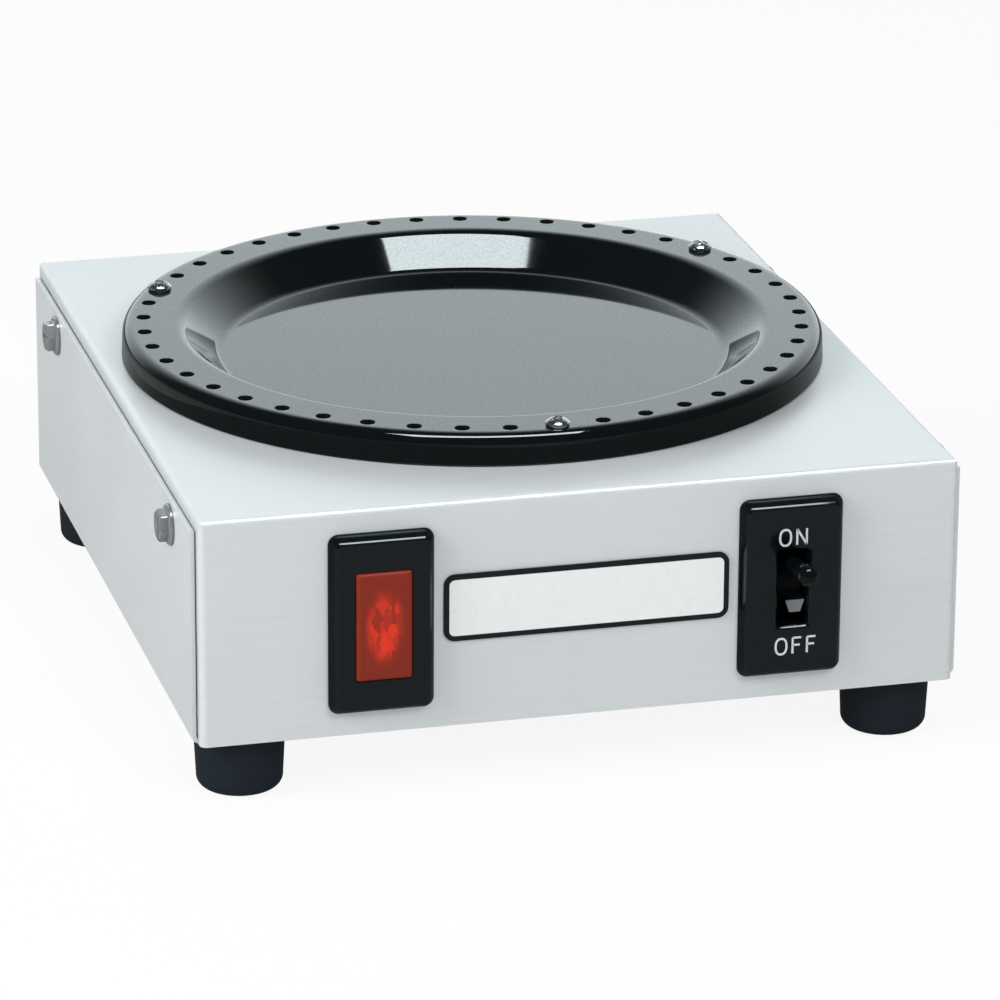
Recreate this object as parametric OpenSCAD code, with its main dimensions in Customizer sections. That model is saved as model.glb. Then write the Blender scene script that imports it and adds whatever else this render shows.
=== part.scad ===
// Countertop warmer plate: a perforated enamelled dish on a folded steel housing.
// A toggle switch and a pilot lamp sit in the front panel. Millimetres, +Z up, front towards -Y.

/* [Housing] */
// Width over the two side panels
body_w = 170; // [168:1:200]
// Depth from front panel to back panel
body_d = 182; // [177:1:210]
// Height from the bottom sheet to the top sheet
body_h = 51; // [48:1:70]
// Thickness of the folded sheet
sheet_t = 1; // [0.8:0.1:1.2]
// Outer radius of the folds
bend_r = 1.6; // [1.4:0.1:3]
// Width of the cover's lip that stays in sight round each side panel
lip = 3; // [2.5:0.5:6]
// Depth of the cover's side flanges from its outer faces
flange = 17; // [16:1:20]
// Gap between two folded sheets that lie on each other
fold_gap = 0.3; // [0.2:0.05:0.5]
// Height of the pan's front and back upstands
upstand = 7; // [5:0.5:7.5]

/* [Housing screws] */
// Distance of the side screws below the top sheet
side_screw_drop = 8.5; // [8:0.1:10.5]
// Distance of the front side screws from the front face
side_screw_front = 23; // [20:1:40]
// Distance of the rear side screws from the back face
side_screw_back = 30; // [20:1:40]
// Width across flats of the hexagon heads
hex_head_af = 6.4; // [5.5:0.1:7]
// Height of the hexagon heads above their washers
hex_head_h = 2.8; // [2:0.1:4]
// Diameter of the washers formed on the hexagon heads
hex_washer_d = 9; // [8.5:0.1:11]
// Thickness of the washers formed on the hexagon heads
hex_washer_t = 0.9; // [0.6:0.1:1.2]
// Diameter of the small screw shanks
shank_d = 3.9; // [3.4:0.1:4]
// Width across flats of the small nuts
nut_af = 7; // [6.5:0.1:8]
// Height of the small nuts
nut_h = 3.2; // [2.5:0.1:4]
// Radial play of a shank in a hole or a nut
shank_gap = 0.1; // [0.05:0.05:0.2]
// Length of the shanks past their nuts
thread_end = 1.5; // [0.5:0.5:2]

/* [Feet] */
// Height of the rubber feet
foot_h = 14.5; // [12:0.5:20]
// Diameter of the feet where they meet the pan
foot_top_d = 20; // [18:0.2:22]
// Diameter of the feet low down
foot_low_d = 18.8; // [15:0.2:20]
// Rounding of the feet's lower edge
foot_round = 2.6; // [1:0.2:3.4]
// Diameter of the screw pocket in the underside of a foot
foot_pocket_d = 9.2; // [9:0.1:9.6]
// Height of the rubber left above the screw pocket
foot_web = 6; // [4:0.5:8]
// Distance of the feet's axes from the side panels
foot_inset_x = 12.5; // [11.5:0.5:20]
// Distance of the feet's axes from the front and back faces
foot_inset_y = 13.5; // [12.5:0.5:20]
// Diameter of the foot screws' heads
foot_head_d = 7.6; // [7:0.1:8.4]
// Height of the foot screws' heads
foot_head_h = 2.6; // [2:0.1:3]
// Diameter of the washers in the foot pockets
foot_washer_d = 8.8; // [8.4:0.1:8.8]
// Thickness of the washers in the foot pockets
foot_washer_t = 1; // [0.8:0.1:1.2]

/* [Warmer plate] */
// Outer diameter of the plate over its skirt
plate_d = 158.4; // [157:0.2:162]
// Distance of the plate's axis behind the middle of the housing
plate_back = 5.5; // [0:0.5:8]
// Thickness of the plate
plate_t = 1.5; // [1.2:0.1:1.8]
// Height of the rim's top above the top sheet
rim_h = 7.2; // [6.5:0.1:9]
// Diameter at which the flat rim starts to fall into the dish
rim_inner_d = 134.5; // [131:0.5:136]
// Depth of the dish floor below the rim
dish_depth = 7.6; // [7:0.1:8]
// Slope of the dish wall in degrees
wall_angle = 42; // [38:1:75]
// Radius of the fold from rim to wall
rim_fold_r = 2.5; // [2:0.1:3]
// Radius of the fillet from wall to floor
floor_fillet_r = 3; // [2.5:0.1:4.5]
// Radius of the rim's outer edge
edge_r = 2.6; // [2:0.1:3]
// Gap between the skirt and the top sheet
skirt_gap = 0.2; // [0.1:0.1:0.6]
// Diameter of the circle of rim holes
ring_d = 148.6; // [147.6:0.2:149]
// Diameter of the rim holes
hole_d = 3.3; // [2:0.1:3.8]
// Number of rim holes between two plate screws
bay_holes = 14; // [8:1:18]
// Number of plate screws round the rim
bays = 3; // [3:1:5]
// Diameter of the spacers under the rim
spacer_d = 6.4; // [6:0.1:6.6]
// Chamfer of the spacers where they pass the rim's fold
spacer_chamfer = 1; // [0.9:0.1:1.1]

/* [Small screws] */
// Diameter of the plate and terminal screws' shanks
small_shank_d = 3; // [2.6:0.1:3]
// Diameter of the plate and terminal screws' heads
pan_head_d = 5.8; // [5.2:0.1:6.2]
// Height of the plate and terminal screws' heads
pan_head_h = 2.6; // [2.2:0.1:3]
// Width across flats of the plate screws' nuts
small_nut_af = 5.5; // [5:0.1:6]
// Height of the plate screws' nuts
small_nut_h = 2.4; // [2:0.1:3]

/* [Heater] */
// Diameter of the mica heating disc
element_d = 104; // [90:1:106]
// Thickness of the mica heating disc
element_t = 2.2; // [1.6:0.1:3]
// Thickness of the fibre pad under the disc
pad_t = 5; // [4:0.5:6]
// Height of the pressure plate's turned-up edge
cup_edge = 4; // [3:0.5:5]
// Gap between the pad and the pressure plate's edge
cup_gap = 1; // [0.5:0.1:1.5]
// Diameter of the clamping stud under the dish
stud_d = 5; // [4:0.5:6]
// Length of the clamping stud
stud_len = 17; // [16:0.5:18]
// Radial play round the clamping stud
stud_gap = 0.3; // [0.2:0.1:0.5]
// Width across flats of the clamping nut
clamp_nut_af = 8; // [8:0.5:10]
// Height of the clamping nut
clamp_nut_h = 4.5; // [4:0.1:5]
// Diameter of the clamping washer
clamp_washer_d = 16; // [12:1:20]
// Thickness of the clamping washer
clamp_washer_t = 1.2; // [1:0.1:1.6]
// Sideways distance of the heater tabs from the plate's axis
heater_tab_x = 22; // [18:1:26]
// Distance of the heater tabs in front of the plate's axis
heater_tab_front = 20; // [14:1:26]
// Diameter of the ceramic bushes round the heater tabs
bush_d = 11; // [10:0.5:13]
// Length of the ceramic bushes below the pressure plate
bush_drop = 2.5; // [1.5:0.5:3]

/* [Front controls] */
// Distance of the lamp's axis from the middle of the panel
lamp_x = 44.5; // [43.5:0.5:47]
// Distance of the switch's axis from the middle of the panel
switch_x = 46; // [44:0.5:48]
// Height of the switch and the lamp above the pan's bottom
control_up = 25.5; // [24.5:0.5:26]
// Width of the control bezels
bezel_w = 23; // [21:0.5:24]
// Height of the control bezels
bezel_h = 40.5; // [36:0.5:42]
// Thickness of the control bezels
bezel_t = 3.2; // [2.6:0.1:4]
// Corner radius of the control bezels
bezel_round = 2.2; // [1.8:0.1:3]
// Width of the bevel round the bezels
bezel_bevel = 1.3; // [0.8:0.1:1.5]
// Height of the bezels' straight edge below the bevel
bezel_edge = 1.4; // [0.6:0.1:1.8]
// Width of the cases behind the panel
case_w = 16.8; // [16.4:0.1:17.2]
// Height of the cases behind the panel
case_h = 31.8; // [31:0.1:33]
// Wall of the cases
case_wall = 1.6; // [1.4:0.1:1.7]
// Thickness of the cases' rear walls
case_rear = 1.8; // [1.4:0.1:2.4]
// Play of the cases in the panel cut-outs
cut_gap = 0.2; // [0.1:0.05:0.3]
// Height of the snap barbs above the cases
barb_h = 0.8; // [0.6:0.1:1.2]
// Width of the blank plate between the bezels
blank_w = 63; // [50:1:63]
// Height of the blank plate between the bezels
blank_h = 15; // [10:1:20]
// Thickness of the blank plate between the bezels
blank_t = 0.5; // [0.3:0.1:0.8]
// Corner radius of the blank plate
blank_r = 2.4; // [1:0.1:4]
// Distance of the blank plate's middle above the controls' axes
blank_up = 1.5; // [0:0.5:3]

/* [Toggle switch] */
// Width of the lever slot
slot_w = 6.6; // [6.2:0.1:7.2]
// Height of the lever slot
slot_h = 17.7; // [16.5:0.1:19]
// Chamfer round the lever slot
slot_chamfer = 0.8; // [0.4:0.1:1]
// Depth of the lever's pivot behind the panel face
pivot_depth = 6; // [5.8:0.1:6.6]
// Tilt of the lever from level at either end of its travel
lever_tilt = 20; // [16:1:22]
// Length of the lever from its pivot to the middle of its tip
lever_len = 21; // [17:0.5:24]
// Diameter of the lever's tip
tip_d = 4.8; // [4.2:0.1:5.2]
// Diameter of the lever where it leaves the drum
root_d = 3.4; // [3:0.1:3.8]
// Diameter of the lever's drum
drum_d = 10.8; // [10:0.1:11]
// Play between the drum and what flanks it
drum_gap = 0.3; // [0.25:0.05:0.4]
// Diameter of the lever's pivot pin
pin_d = 2.4; // [2:0.1:2.6]
// Radial running clearance of the pins
run_gap = 0.05; // [0.03:0.01:0.08]
// Diameter of the lever's tail
tail_d = 5.2; // [5:0.1:5.4]
// Length of the lever's tail behind the pivot
tail_len = 9; // [8.6:0.1:9.4]
// Diameter of the plunger
plunger_d = 2.7; // [2.5:0.1:2.8]
// Radial play of the plunger in the tail
plunger_gap = 0.15; // [0.1:0.05:0.2]
// Distance of the plunger's tip from the pivot
plunger_reach = 12.15; // [12:0.05:12.4]
// Distance of the plunger's inner end from the pivot
plunger_head = 6; // [5.5:0.1:6.5]
// Radius of the plunger spring's wire
wire_r = 0.18; // [0.12:0.02:0.2]
// Number of turns of the plunger spring
turns = 3.5; // [2.5:0.5:4.5]
// Distance of the tail's bore from the pivot
bore_end = 3; // [2.8:0.1:3.4]
// Play between the plunger's path and the rocker's seat
seat_gap = 0.35; // [0.3:0.05:0.5]
// Thickness of the contact rocker
rocker_t = 1; // [0.8:0.1:1.1]
// Width of the contact rocker
rocker_w = 5; // [4:0.1:5.2]
// Half length of the contact rocker's hollow seat
seat_half = 5.5; // [5:0.1:5.8]
// Half length of the contact rocker
rocker_half = 9.2; // [8.9:0.1:9.6]
// Tilt of the contact rocker at either end of its travel
rocker_tilt = 6; // [4:0.5:7]
// Diameter of the contact rocker's pivot
rocker_pin_d = 1.8; // [1.6:0.1:2]
// Diameter of the contact buttons
button_d = 2.8; // [2.4:0.1:3]
// Height of the contact buttons
button_h = 0.8; // [0.5:0.1:1]
// Distance of the contact buttons below the rocker's pivot
button_low = 7.6; // [7.4:0.1:7.7]
// Air left between the closed contact buttons
button_gap = 0.3; // [0.25:0.05:0.4]
// Thickness of the terminals' sheet
ear_t = 0.8; // [0.6:0.1:1]
// Width of the ears that hold the rocker
ear_w = 4.4; // [4:0.1:5]
// Diameter of the case's bosses round the lever pin
boss_d = 6; // [5:0.5:7]
// Space behind the rocker's pivot
rocker_back = 3; // [2.8:0.1:4]

/* [Pilot lamp] */
// Width of the lens
lens_w = 12.1; // [11.8:0.1:12.4]
// Height of the lens
lens_h = 24.2; // [22:0.2:26]
// Height of the lens above the bezel
lens_proud = 0.8; // [0.4:0.1:1.2]
// Bevel round the lens
lens_bevel = 0.6; // [0.3:0.1:0.8]
// Wall of the hollow lens
lens_wall = 1.5; // [1.2:0.1:2]
// Thickness of the lens foot behind the bezel
lens_foot = 1.5; // [1.2:0.1:2]
// Play of the lens in its bezel
lens_gap = 0.15; // [0.1:0.05:0.25]
// Diameter of the neon lamp
lamp_d = 5.6; // [4.6:0.1:6]
// Length of the neon lamp
lamp_len = 22; // [20:0.5:24]
// Depth of the reflector behind the lens
reflector_d = 10.4; // [9.6:0.1:11.5]
// Depth of the lamp case behind the panel face
lamp_case_d = 20; // [19.5:0.5:22]
// Distance of the lamp's tabs above and below its middle
lamp_tab_up = 6.5; // [6:0.5:8]
// Diameter of the lamp's resistor
resistor_d = 2.4; // [1.8:0.1:2.8]
// Length of the lamp's resistor
resistor_len = 7; // [5:0.5:8]

/* [Wiring] */
// Width of the flat connector tabs
tab_w = 6.3; // [5.6:0.1:6.4]
// Thickness of the flat connector tabs
tab_t = 0.8; // [0.7:0.1:0.9]
// Length of the connector tabs outside their cases
tab_len = 10; // [8:0.5:11]
// Gap between a case and the connector sleeves behind it
sleeve_root = 0.3; // [0.2:0.1:1]
// Play of the tabs in slots and sleeves
tab_gap = 0.2; // [0.1:0.05:0.3]
// Wall of the connector sleeves
sleeve_wall = 0.9; // [0.7:0.1:1.1]
// Length of the connector sleeves
sleeve_len = 14; // [13:0.5:16]
// Diameter of the insulated leads
lead_d = 2.4; // [1.8:0.1:2.8]
// Distance of the cord gland from the right side panel
gland_side = 36; // [28:1:44]
// Height of the cord gland above the pan's bottom
gland_up = 17; // [15:1:22]
// Diameter of the cord gland's bore
gland_bore_d = 8.2; // [7:0.1:9]
// Diameter of the cord gland's neck in the panel
gland_neck_d = 15.8; // [14:0.2:16]
// Diameter of the cord gland's flange
gland_flange_d = 20; // [19:0.5:22]
// Thickness of the cord gland's flange
gland_flange_t = 3; // [2:0.1:4]
// Length of the cord gland behind the panel
gland_tail = 7; // [6:0.5:9]
// Width of one pole of the terminal block
pole_w = 10; // [9:0.5:10]
// Depth of the terminal block
block_d = 20; // [18:0.5:22]
// Height of the terminal block
block_h = 13; // [12:0.5:14]
// Width of the terminal block's fixing ears
block_ear = 8; // [7:0.5:9]
// Thickness of the terminal block's fixing ears
block_ear_t = 4; // [3:0.5:5]
// Thickness of the terminal strips
strip_t = 1; // [0.8:0.1:1.2]
// Depth of the terminal block's pole channels
pole_depth = 6; // [5:0.5:7]
// Distance of the terminal block from the right side panel
block_side = 46; // [44:1:50]
// Distance of the terminal block from the back panel
block_back = 34; // [30:1:40]
// Thickness of the ground lug
lug_t = 0.8; // [0.6:0.1:1]
// Length of the ground lug from its screw to the end of its barrel
lug_len = 14; // [12:0.5:16]
// Length of the ground lug's barrel
barrel_len = 6; // [5:0.5:7]
// Sideways distance of the ground screw from the middle of the terminal block
ground_x = 51; // [47:1:59]
// Distance of the ground screw from the back panel
ground_back = 30; // [26:1:36]

/* [Hidden] */
$fn = 64;
eps = 0.01;

// Levels and places of the housing
base_z = foot_h;
top_z = base_z + body_h;
tip_reach = lever_len * cos(lever_tilt) + tip_d / 2 - pivot_depth;
body_y = (tip_reach - gland_flange_t) / 2;
front_y = body_y - body_d / 2;
back_y = body_y + body_d / 2;
plate_y = body_y + plate_back;
cover_w = body_w - 2 * (sheet_t + fold_gap);
floor_z = base_z + sheet_t;
control_z = base_z + control_up;
foot_x = body_w / 2 - foot_inset_x;
foot_y = body_d / 2 - foot_inset_y;
side_screw_y = [front_y + side_screw_front, back_y - side_screw_back];
side_stack = 2 * sheet_t + fold_gap;

// Section of the warmer plate
rim_z = top_z + rim_h;
dish_z = rim_z - dish_depth;
rim_r = rim_inner_d / 2;
wall_drop = dish_depth - (rim_fold_r + floor_fillet_r) * (1 - cos(wall_angle));
wall_run = wall_drop / tan(wall_angle);
floor_r = rim_r - (rim_fold_r + floor_fillet_r) * sin(wall_angle) - wall_run;
opening_r = rim_r - 2;
ring_steps = bays * (bay_holes + 1);
screw_hole_r = shank_d / 2 + 2 * shank_gap;
small_hole_r = small_shank_d / 2 + 2 * shank_gap;

// Levels of the heater stack, from the dish downwards
under_z = dish_z - plate_t;
pad_z = under_z - element_t;
cup_z = pad_z - pad_t;
cup_low_z = cup_z - sheet_t;
bush_low_z = cup_low_z - bush_drop;
heater_tab_low_z = bush_low_z - tab_len;
heater_sleeve_low_z = bush_low_z - sleeve_root - sleeve_len;
heater_tab_y = plate_y - heater_tab_front;

// Depths inside the switch, counted outwards from the panel face
seat_r = plunger_reach + seat_gap;
rocker_pivot = seat_r + rocker_t + rocker_pin_d / 2 - 0.2;
wing_z = -sqrt(pow(seat_r + rocker_t, 2) - seat_half * seat_half);
switch_floor = -pivot_depth - rocker_pivot - rocker_back;
switch_case_d = rocker_back + rocker_pivot + pivot_depth + case_rear;
button_face = wing_z - button_h + rocker_pivot;
button_rest = -button_low * sin(rocker_tilt) + button_face * cos(rocker_tilt);
fixed_face = button_rest - button_gap;
ear_x = rocker_w / 2 + drum_gap;
sleeve_w = tab_w + 2 * (tab_gap + sleeve_wall);
sleeve_h = tab_t + 2 * (tab_gap + sleeve_wall);
switch_lead_n = -switch_case_d - sleeve_root - sleeve_len;
lamp_lead_n = -lamp_case_d - sleeve_root - sleeve_len;
inner_w = case_w - 2 * case_wall;
inner_h = case_h - 2 * case_wall;
reflector_front = -lens_foot - 0.1;
reflector_back = reflector_front - reflector_d;
lamp_n = reflector_front - lamp_d / 2 - 1.6;

// Places of the wiring
gland_x = body_w / 2 - gland_side;
block_x = body_w / 2 - block_side;
poles = 3;
block_w = poles * pole_w + 2;
block_y = back_y - block_back;
block_front_y = block_y - block_d / 2;
strip_z = floor_z + block_h - pole_depth;
pole_lead_z = strip_z + strip_t + lead_d / 2;
gland_z = base_z + gland_up;
ground_mid_x = block_x - ground_x;
ground_y = back_y - ground_back;
barrel_z = lug_t + lead_d / 2;

// Points of an arc from angle a0 to angle a1
function arc(cx, cy, r, a0, a1, n) =
  [for (i = [0:n]) [cx + r * cos(a0 + (a1 - a0) * i / n), cy + r * sin(a0 + (a1 - a0) * i / n)]];

// A point given by its place on the front panel: sideways, up from the controls, outwards
function panel_point(x, up, n) = [x, front_y - n, control_z + up];

// Smooth curve through a list of points, with n steps between two of them
function knot(p, i) = p[max(0, min(len(p) - 1, i))];
function curve_at(a, b, c, d, t) =
  0.5 * (2 * b + (c - a) * t + (2 * a - 5 * b + 4 * c - d) * t * t + (3 * b - a - 3 * c + d) * t * t * t);
function smooth(p, n) = concat(
  [for (i = [0:len(p) - 2]) for (k = [0:n - 1])
    curve_at(knot(p, i - 1), knot(p, i), knot(p, i + 1), knot(p, i + 2), k / n)],
  [p[len(p) - 1]]);

// Directions along a path, and normals carried along it without twist
function unit(v) = v / norm(v);
function along(p) = [for (i = [0:len(p) - 1]) unit(p[min(i + 1, len(p) - 1)] - p[max(i - 1, 0)])];
function side_of(t) = unit(cross(t, abs(t[2]) < 0.7 ? [0, 0, 1] : [1, 0, 0]));
function carried(t, i, list) =
  i == len(t) ? list : carried(t, i + 1, concat(list, [unit(list[i - 1] - t[i] * (list[i - 1] * t[i]))]));

// Round tube of radius r along a path
module tube(path, r, sides) {
  t = along(path);
  n = carried(t, 1, [side_of(t[0])]);
  rings = len(path);
  points = [for (i = [0:rings - 1]) for (k = [0:sides - 1])
    path[i] + r * (cos(360 * k / sides) * n[i] + sin(360 * k / sides) * cross(t[i], n[i]))];
  walls = [for (i = [0:rings - 2]) for (k = [0:sides - 1]) for (half = [0, 1])
    half == 0
      ? [i * sides + k, (i + 1) * sides + k, (i + 1) * sides + (k + 1) % sides]
      : [i * sides + k, (i + 1) * sides + (k + 1) % sides, i * sides + (k + 1) % sides]];
  caps = [[for (k = [0:sides - 1]) k], [for (k = [sides - 1:-1:0]) (rings - 1) * sides + k]];
  polyhedron(points, concat(walls, caps));
}

// Frame of a control on the front panel: x sideways, y up, z outwards
module on_panel(x) {
  translate([x, front_y, control_z]) rotate([90, 0, 0]) children();
}

// Places of repeated fasteners
module at_side_screws() {
  for (side = [-1, 1], y = side_screw_y)
    translate([side * body_w / 2, y, top_z - side_screw_drop])
      rotate([0, side * 90, 0]) children();
}

module at_feet() {
  for (side = [-1, 1], end = [-1, 1])
    translate([side * foot_x, body_y + end * foot_y, 0]) children();
}

module at_ring(step) {
  translate([0, plate_y, 0]) rotate([0, 0, 270 + 360 * step / ring_steps])
    translate([ring_d / 2, 0, 0]) children();
}

module at_plate_screws() {
  for (i = [0:bays - 1]) at_ring(i * (bay_holes + 1)) children();
}

module at_heater_tabs() {
  for (side = [-1, 1]) translate([side * heater_tab_x, heater_tab_y, 0]) children();
}

module at_poles() {
  for (i = [0:poles - 1]) translate([block_x + (i - (poles - 1) / 2) * pole_w, block_y, 0]) children();
}

module at_block_screws() {
  for (side = [-1, 1]) translate([block_x + side * (block_w + block_ear) / 2, block_y, 0]) children();
}

// Hexagonal prism with its flats af apart
module hex_prism(af, h) {
  cylinder(d = af / cos(30), h = h, $fn = 6);
}

module hex_nut(af, h, bore_r) {
  difference() {
    hex_prism(af, h);
    translate([0, 0, -eps]) cylinder(r = bore_r, h = h + 2 * eps);
  }
}

module washer(d, t, bore_r) {
  difference() {
    cylinder(d = d, h = t);
    translate([0, 0, -eps]) cylinder(r = bore_r, h = t + 2 * eps);
  }
}

// Head with a domed top and a cross recess
module pan_head(d, h) {
  dome_r = d * 0.68;
  difference() {
    intersection() {
      cylinder(d = d, h = h);
      translate([0, 0, h - dome_r]) sphere(r = dome_r);
    }
    for (turn = [0, 90])
      rotate([0, 0, turn]) translate([0, 0, h]) cube([d * 0.56, d * 0.14, h], center = true);
  }
}

// Rectangle with round corners
module round_rect(w, h, r) {
  square([w - 2 * r, h], center = true);
  square([w, h - 2 * r], center = true);
  for (sx = [-1, 1], sy = [-1, 1]) translate([sx * (w / 2 - r), sy * (h / 2 - r)]) circle(r = r);
}

// Rectangle standing on its lower edge, with round upper corners
module round_top(w, h, r) {
  translate([-w / 2, 0]) square([w, h - r]);
  translate([r - w / 2, 0]) square([w - 2 * r, h]);
  for (sx = [-1, 1]) translate([sx * (w / 2 - r), h - r]) circle(r = r);
}

// Block with folded edges, drawn in by inset on every side but the bottom, which drops by low
module folded_block(inset, low) {
  w = cover_w - 2 * inset;
  d = body_d - 2 * inset;
  h = body_h - inset + low;
  r = bend_r - inset;
  translate([0, body_y, base_z - low]) intersection() {
    rotate([90, 0, 90]) linear_extrude(height = w, center = true) round_top(d, h, r);
    rotate([90, 0, 0]) linear_extrude(height = d, center = true) round_top(w, h, r);
    linear_extrude(height = h) round_rect(w, d, r);
  }
}

module top_cover() {
  window_d = body_d - 2 * flange;
  panel_d = body_d - 2 * lip;
  heel = bend_r + fold_gap;
  color([0.78, 0.79, 0.8]) difference() {
    folded_block(0, 0);
    folded_block(sheet_t, 1);
    translate([-body_w / 2, body_y - window_d / 2, base_z - 1]) cube([body_w, window_d, body_h - flange + 1]);
    for (side = [-1, 1])
      translate([side * cover_w / 2, body_y, base_z]) cube([4 * sheet_t, panel_d, 2 * heel], center = true);
    translate([0, plate_y, top_z - 2 * sheet_t]) cylinder(r = opening_r, h = 4 * sheet_t);
    at_plate_screws() translate([0, 0, top_z - 2 * sheet_t]) cylinder(r = small_hole_r, h = 4 * sheet_t);
    at_side_screws() translate([0, 0, -2 * side_stack]) cylinder(r = screw_hole_r, h = 2 * side_stack);
    for (x = [-lamp_x, switch_x])
      on_panel(x)
        cube([case_w + 2 * cut_gap, case_h + 2 * cut_gap, 4 * sheet_t], center = true);
    translate([gland_x, back_y, gland_z]) rotate([90, 0, 0])
      cylinder(d = gland_neck_d + 2 * cut_gap, h = 4 * sheet_t, center = true);
  }
}

module base_pan() {
  side_h = body_h - lip;
  deep = body_d - 2 * (sheet_t + fold_gap);
  tongue_w = cover_w - 2 * (bend_r + fold_gap);
  color([0.76, 0.77, 0.78]) difference() {
    union() {
      translate([0, body_y, base_z + side_h]) rotate([-90, 0, 0])
        linear_extrude(height = body_d - 2 * lip, center = true) difference() {
          round_top(body_w, side_h, bend_r);
          translate([0, -1]) round_top(body_w - 2 * sheet_t, side_h + 1 - sheet_t, bend_r - sheet_t);
        }
      translate([-tongue_w / 2, body_y - deep / 2, base_z]) cube([tongue_w, deep, sheet_t]);
      for (end = [-1, 1])
        translate([-tongue_w / 2, body_y + end * (deep - sheet_t) / 2 - sheet_t / 2, base_z])
          cube([tongue_w, sheet_t, upstand]);
    }
    at_feet() translate([0, 0, base_z - 1]) cylinder(r = screw_hole_r, h = sheet_t + 2);
    at_side_screws() translate([0, 0, -2 * sheet_t]) cylinder(r = screw_hole_r, h = 4 * sheet_t);
    at_block_screws() translate([0, 0, base_z - 1]) cylinder(r = small_hole_r, h = sheet_t + 2);
    translate([ground_mid_x, ground_y, base_z - 1]) cylinder(r = shank_d / 2 + shank_gap, h = sheet_t + 2);
  }
}

module side_screws() {
  side_reach = side_stack + nut_h + thread_end;
  color([0.8, 0.8, 0.82]) at_side_screws() {
    cylinder(d1 = hex_washer_d, d2 = hex_washer_d - 0.8, h = hex_washer_t);
    difference() {
      hex_prism(hex_head_af, hex_washer_t + hex_head_h);
      translate([0, 0, hex_washer_t + hex_head_h]) cube([2 * hex_head_af, 1, 2], center = true);
    }
    translate([0, 0, -side_reach]) cylinder(d = shank_d, h = side_reach + eps);
  }
}

module side_nuts() {
  color([0.7, 0.7, 0.66])
    at_side_screws() translate([0, 0, -side_stack - nut_h]) hex_nut(nut_af, nut_h, shank_d / 2 + shank_gap);
}

module rubber_feet() {
  low_r = foot_low_d / 2;
  pocket_r = foot_pocket_d / 2;
  web_z = foot_h - foot_web;
  color([0.08, 0.08, 0.09]) at_feet() rotate_extrude() polygon(concat(
    [[pocket_r, 0]],
    arc(low_r - foot_round, foot_round, foot_round, -90, 0, 8),
    [[foot_top_d / 2, foot_h], [screw_hole_r, foot_h], [screw_hole_r, web_z], [pocket_r, web_z]]));
}

module foot_washers() {
  color([0.7, 0.7, 0.7]) at_feet()
    translate([0, 0, foot_h - foot_web - foot_washer_t])
      washer(foot_washer_d, foot_washer_t, shank_d / 2 + shank_gap);
}

module foot_screws() {
  head_z = foot_h - foot_web - foot_washer_t;
  color([0.75, 0.75, 0.77]) at_feet() {
    translate([0, 0, head_z]) mirror([0, 0, 1]) pan_head(foot_head_d, foot_head_h);
    translate([0, 0, head_z - eps]) cylinder(d = shank_d, h = floor_z + nut_h + thread_end - head_z);
  }
}

module foot_nuts() {
  color([0.7, 0.7, 0.66])
    at_feet() translate([0, 0, floor_z]) hex_nut(nut_af, nut_h, shank_d / 2 + shank_gap);
}

module warmer_plate() {
  edge_c = plate_d / 2 - edge_r;
  top_side = concat(
    [[0, dish_z]],
    arc(floor_r, dish_z + floor_fillet_r, floor_fillet_r, -90, wall_angle - 90, 10),
    arc(rim_r, rim_z - rim_fold_r, rim_fold_r, 90 + wall_angle, 90, 8),
    arc(edge_c, rim_z - edge_r, edge_r, 90, 0, 8),
    [[plate_d / 2, top_z + skirt_gap]]);
  under_side = concat(
    [[plate_d / 2 - plate_t, top_z + skirt_gap]],
    arc(edge_c, rim_z - edge_r, edge_r - plate_t, 0, 90, 6),
    arc(rim_r, rim_z - rim_fold_r, rim_fold_r - plate_t, 90, 90 + wall_angle, 6),
    arc(floor_r, dish_z + floor_fillet_r, floor_fillet_r + plate_t, wall_angle - 90, -90, 10),
    [[0, under_z]]);
  color([0.06, 0.06, 0.07]) difference() {
    translate([0, plate_y, 0]) rotate_extrude($fn = 128) polygon(concat(top_side, under_side));
    for (i = [0:ring_steps - 1])
      at_ring(i) translate([0, 0, rim_z - 2 * plate_t])
        cylinder(r = i % (bay_holes + 1) == 0 ? small_hole_r : hole_d / 2, h = 3 * plate_t);
  }
}

module plate_screws() {
  reach = rim_h + sheet_t + small_nut_h + thread_end;
  color([0.82, 0.82, 0.84]) at_plate_screws() translate([0, 0, rim_z]) {
    pan_head(pan_head_d, pan_head_h);
    translate([0, 0, -reach]) cylinder(d = small_shank_d, h = reach + eps);
  }
}

module plate_spacers() {
  high = rim_h - plate_t;
  color([0.7, 0.7, 0.72]) at_plate_screws() translate([0, 0, top_z]) rotate_extrude() polygon([
    [small_hole_r, 0], [spacer_d / 2, 0], [spacer_d / 2, high - spacer_chamfer],
    [spacer_d / 2 - spacer_chamfer, high], [small_hole_r, high]]);
}

module plate_nuts() {
  color([0.7, 0.7, 0.66]) at_plate_screws()
    translate([0, 0, top_z - sheet_t - small_nut_h])
      hex_nut(small_nut_af, small_nut_h, small_shank_d / 2 + shank_gap);
}

module clamp_stud() {
  color([0.65, 0.65, 0.66]) translate([0, plate_y, under_z - stud_len]) cylinder(d = stud_d, h = stud_len);
}

module heater_element() {
  color([0.62, 0.55, 0.42]) translate([0, plate_y, pad_z])
    washer(element_d, element_t, stud_d / 2 + stud_gap);
}

module insulation_pad() {
  color([0.9, 0.88, 0.82]) difference() {
    translate([0, plate_y, cup_z]) washer(element_d, pad_t, stud_d / 2 + stud_gap);
    at_heater_tabs() translate([0, 0, cup_z - 1]) cylinder(d = bush_d + 2 * tab_gap, h = pad_t + 2);
  }
}

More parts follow.
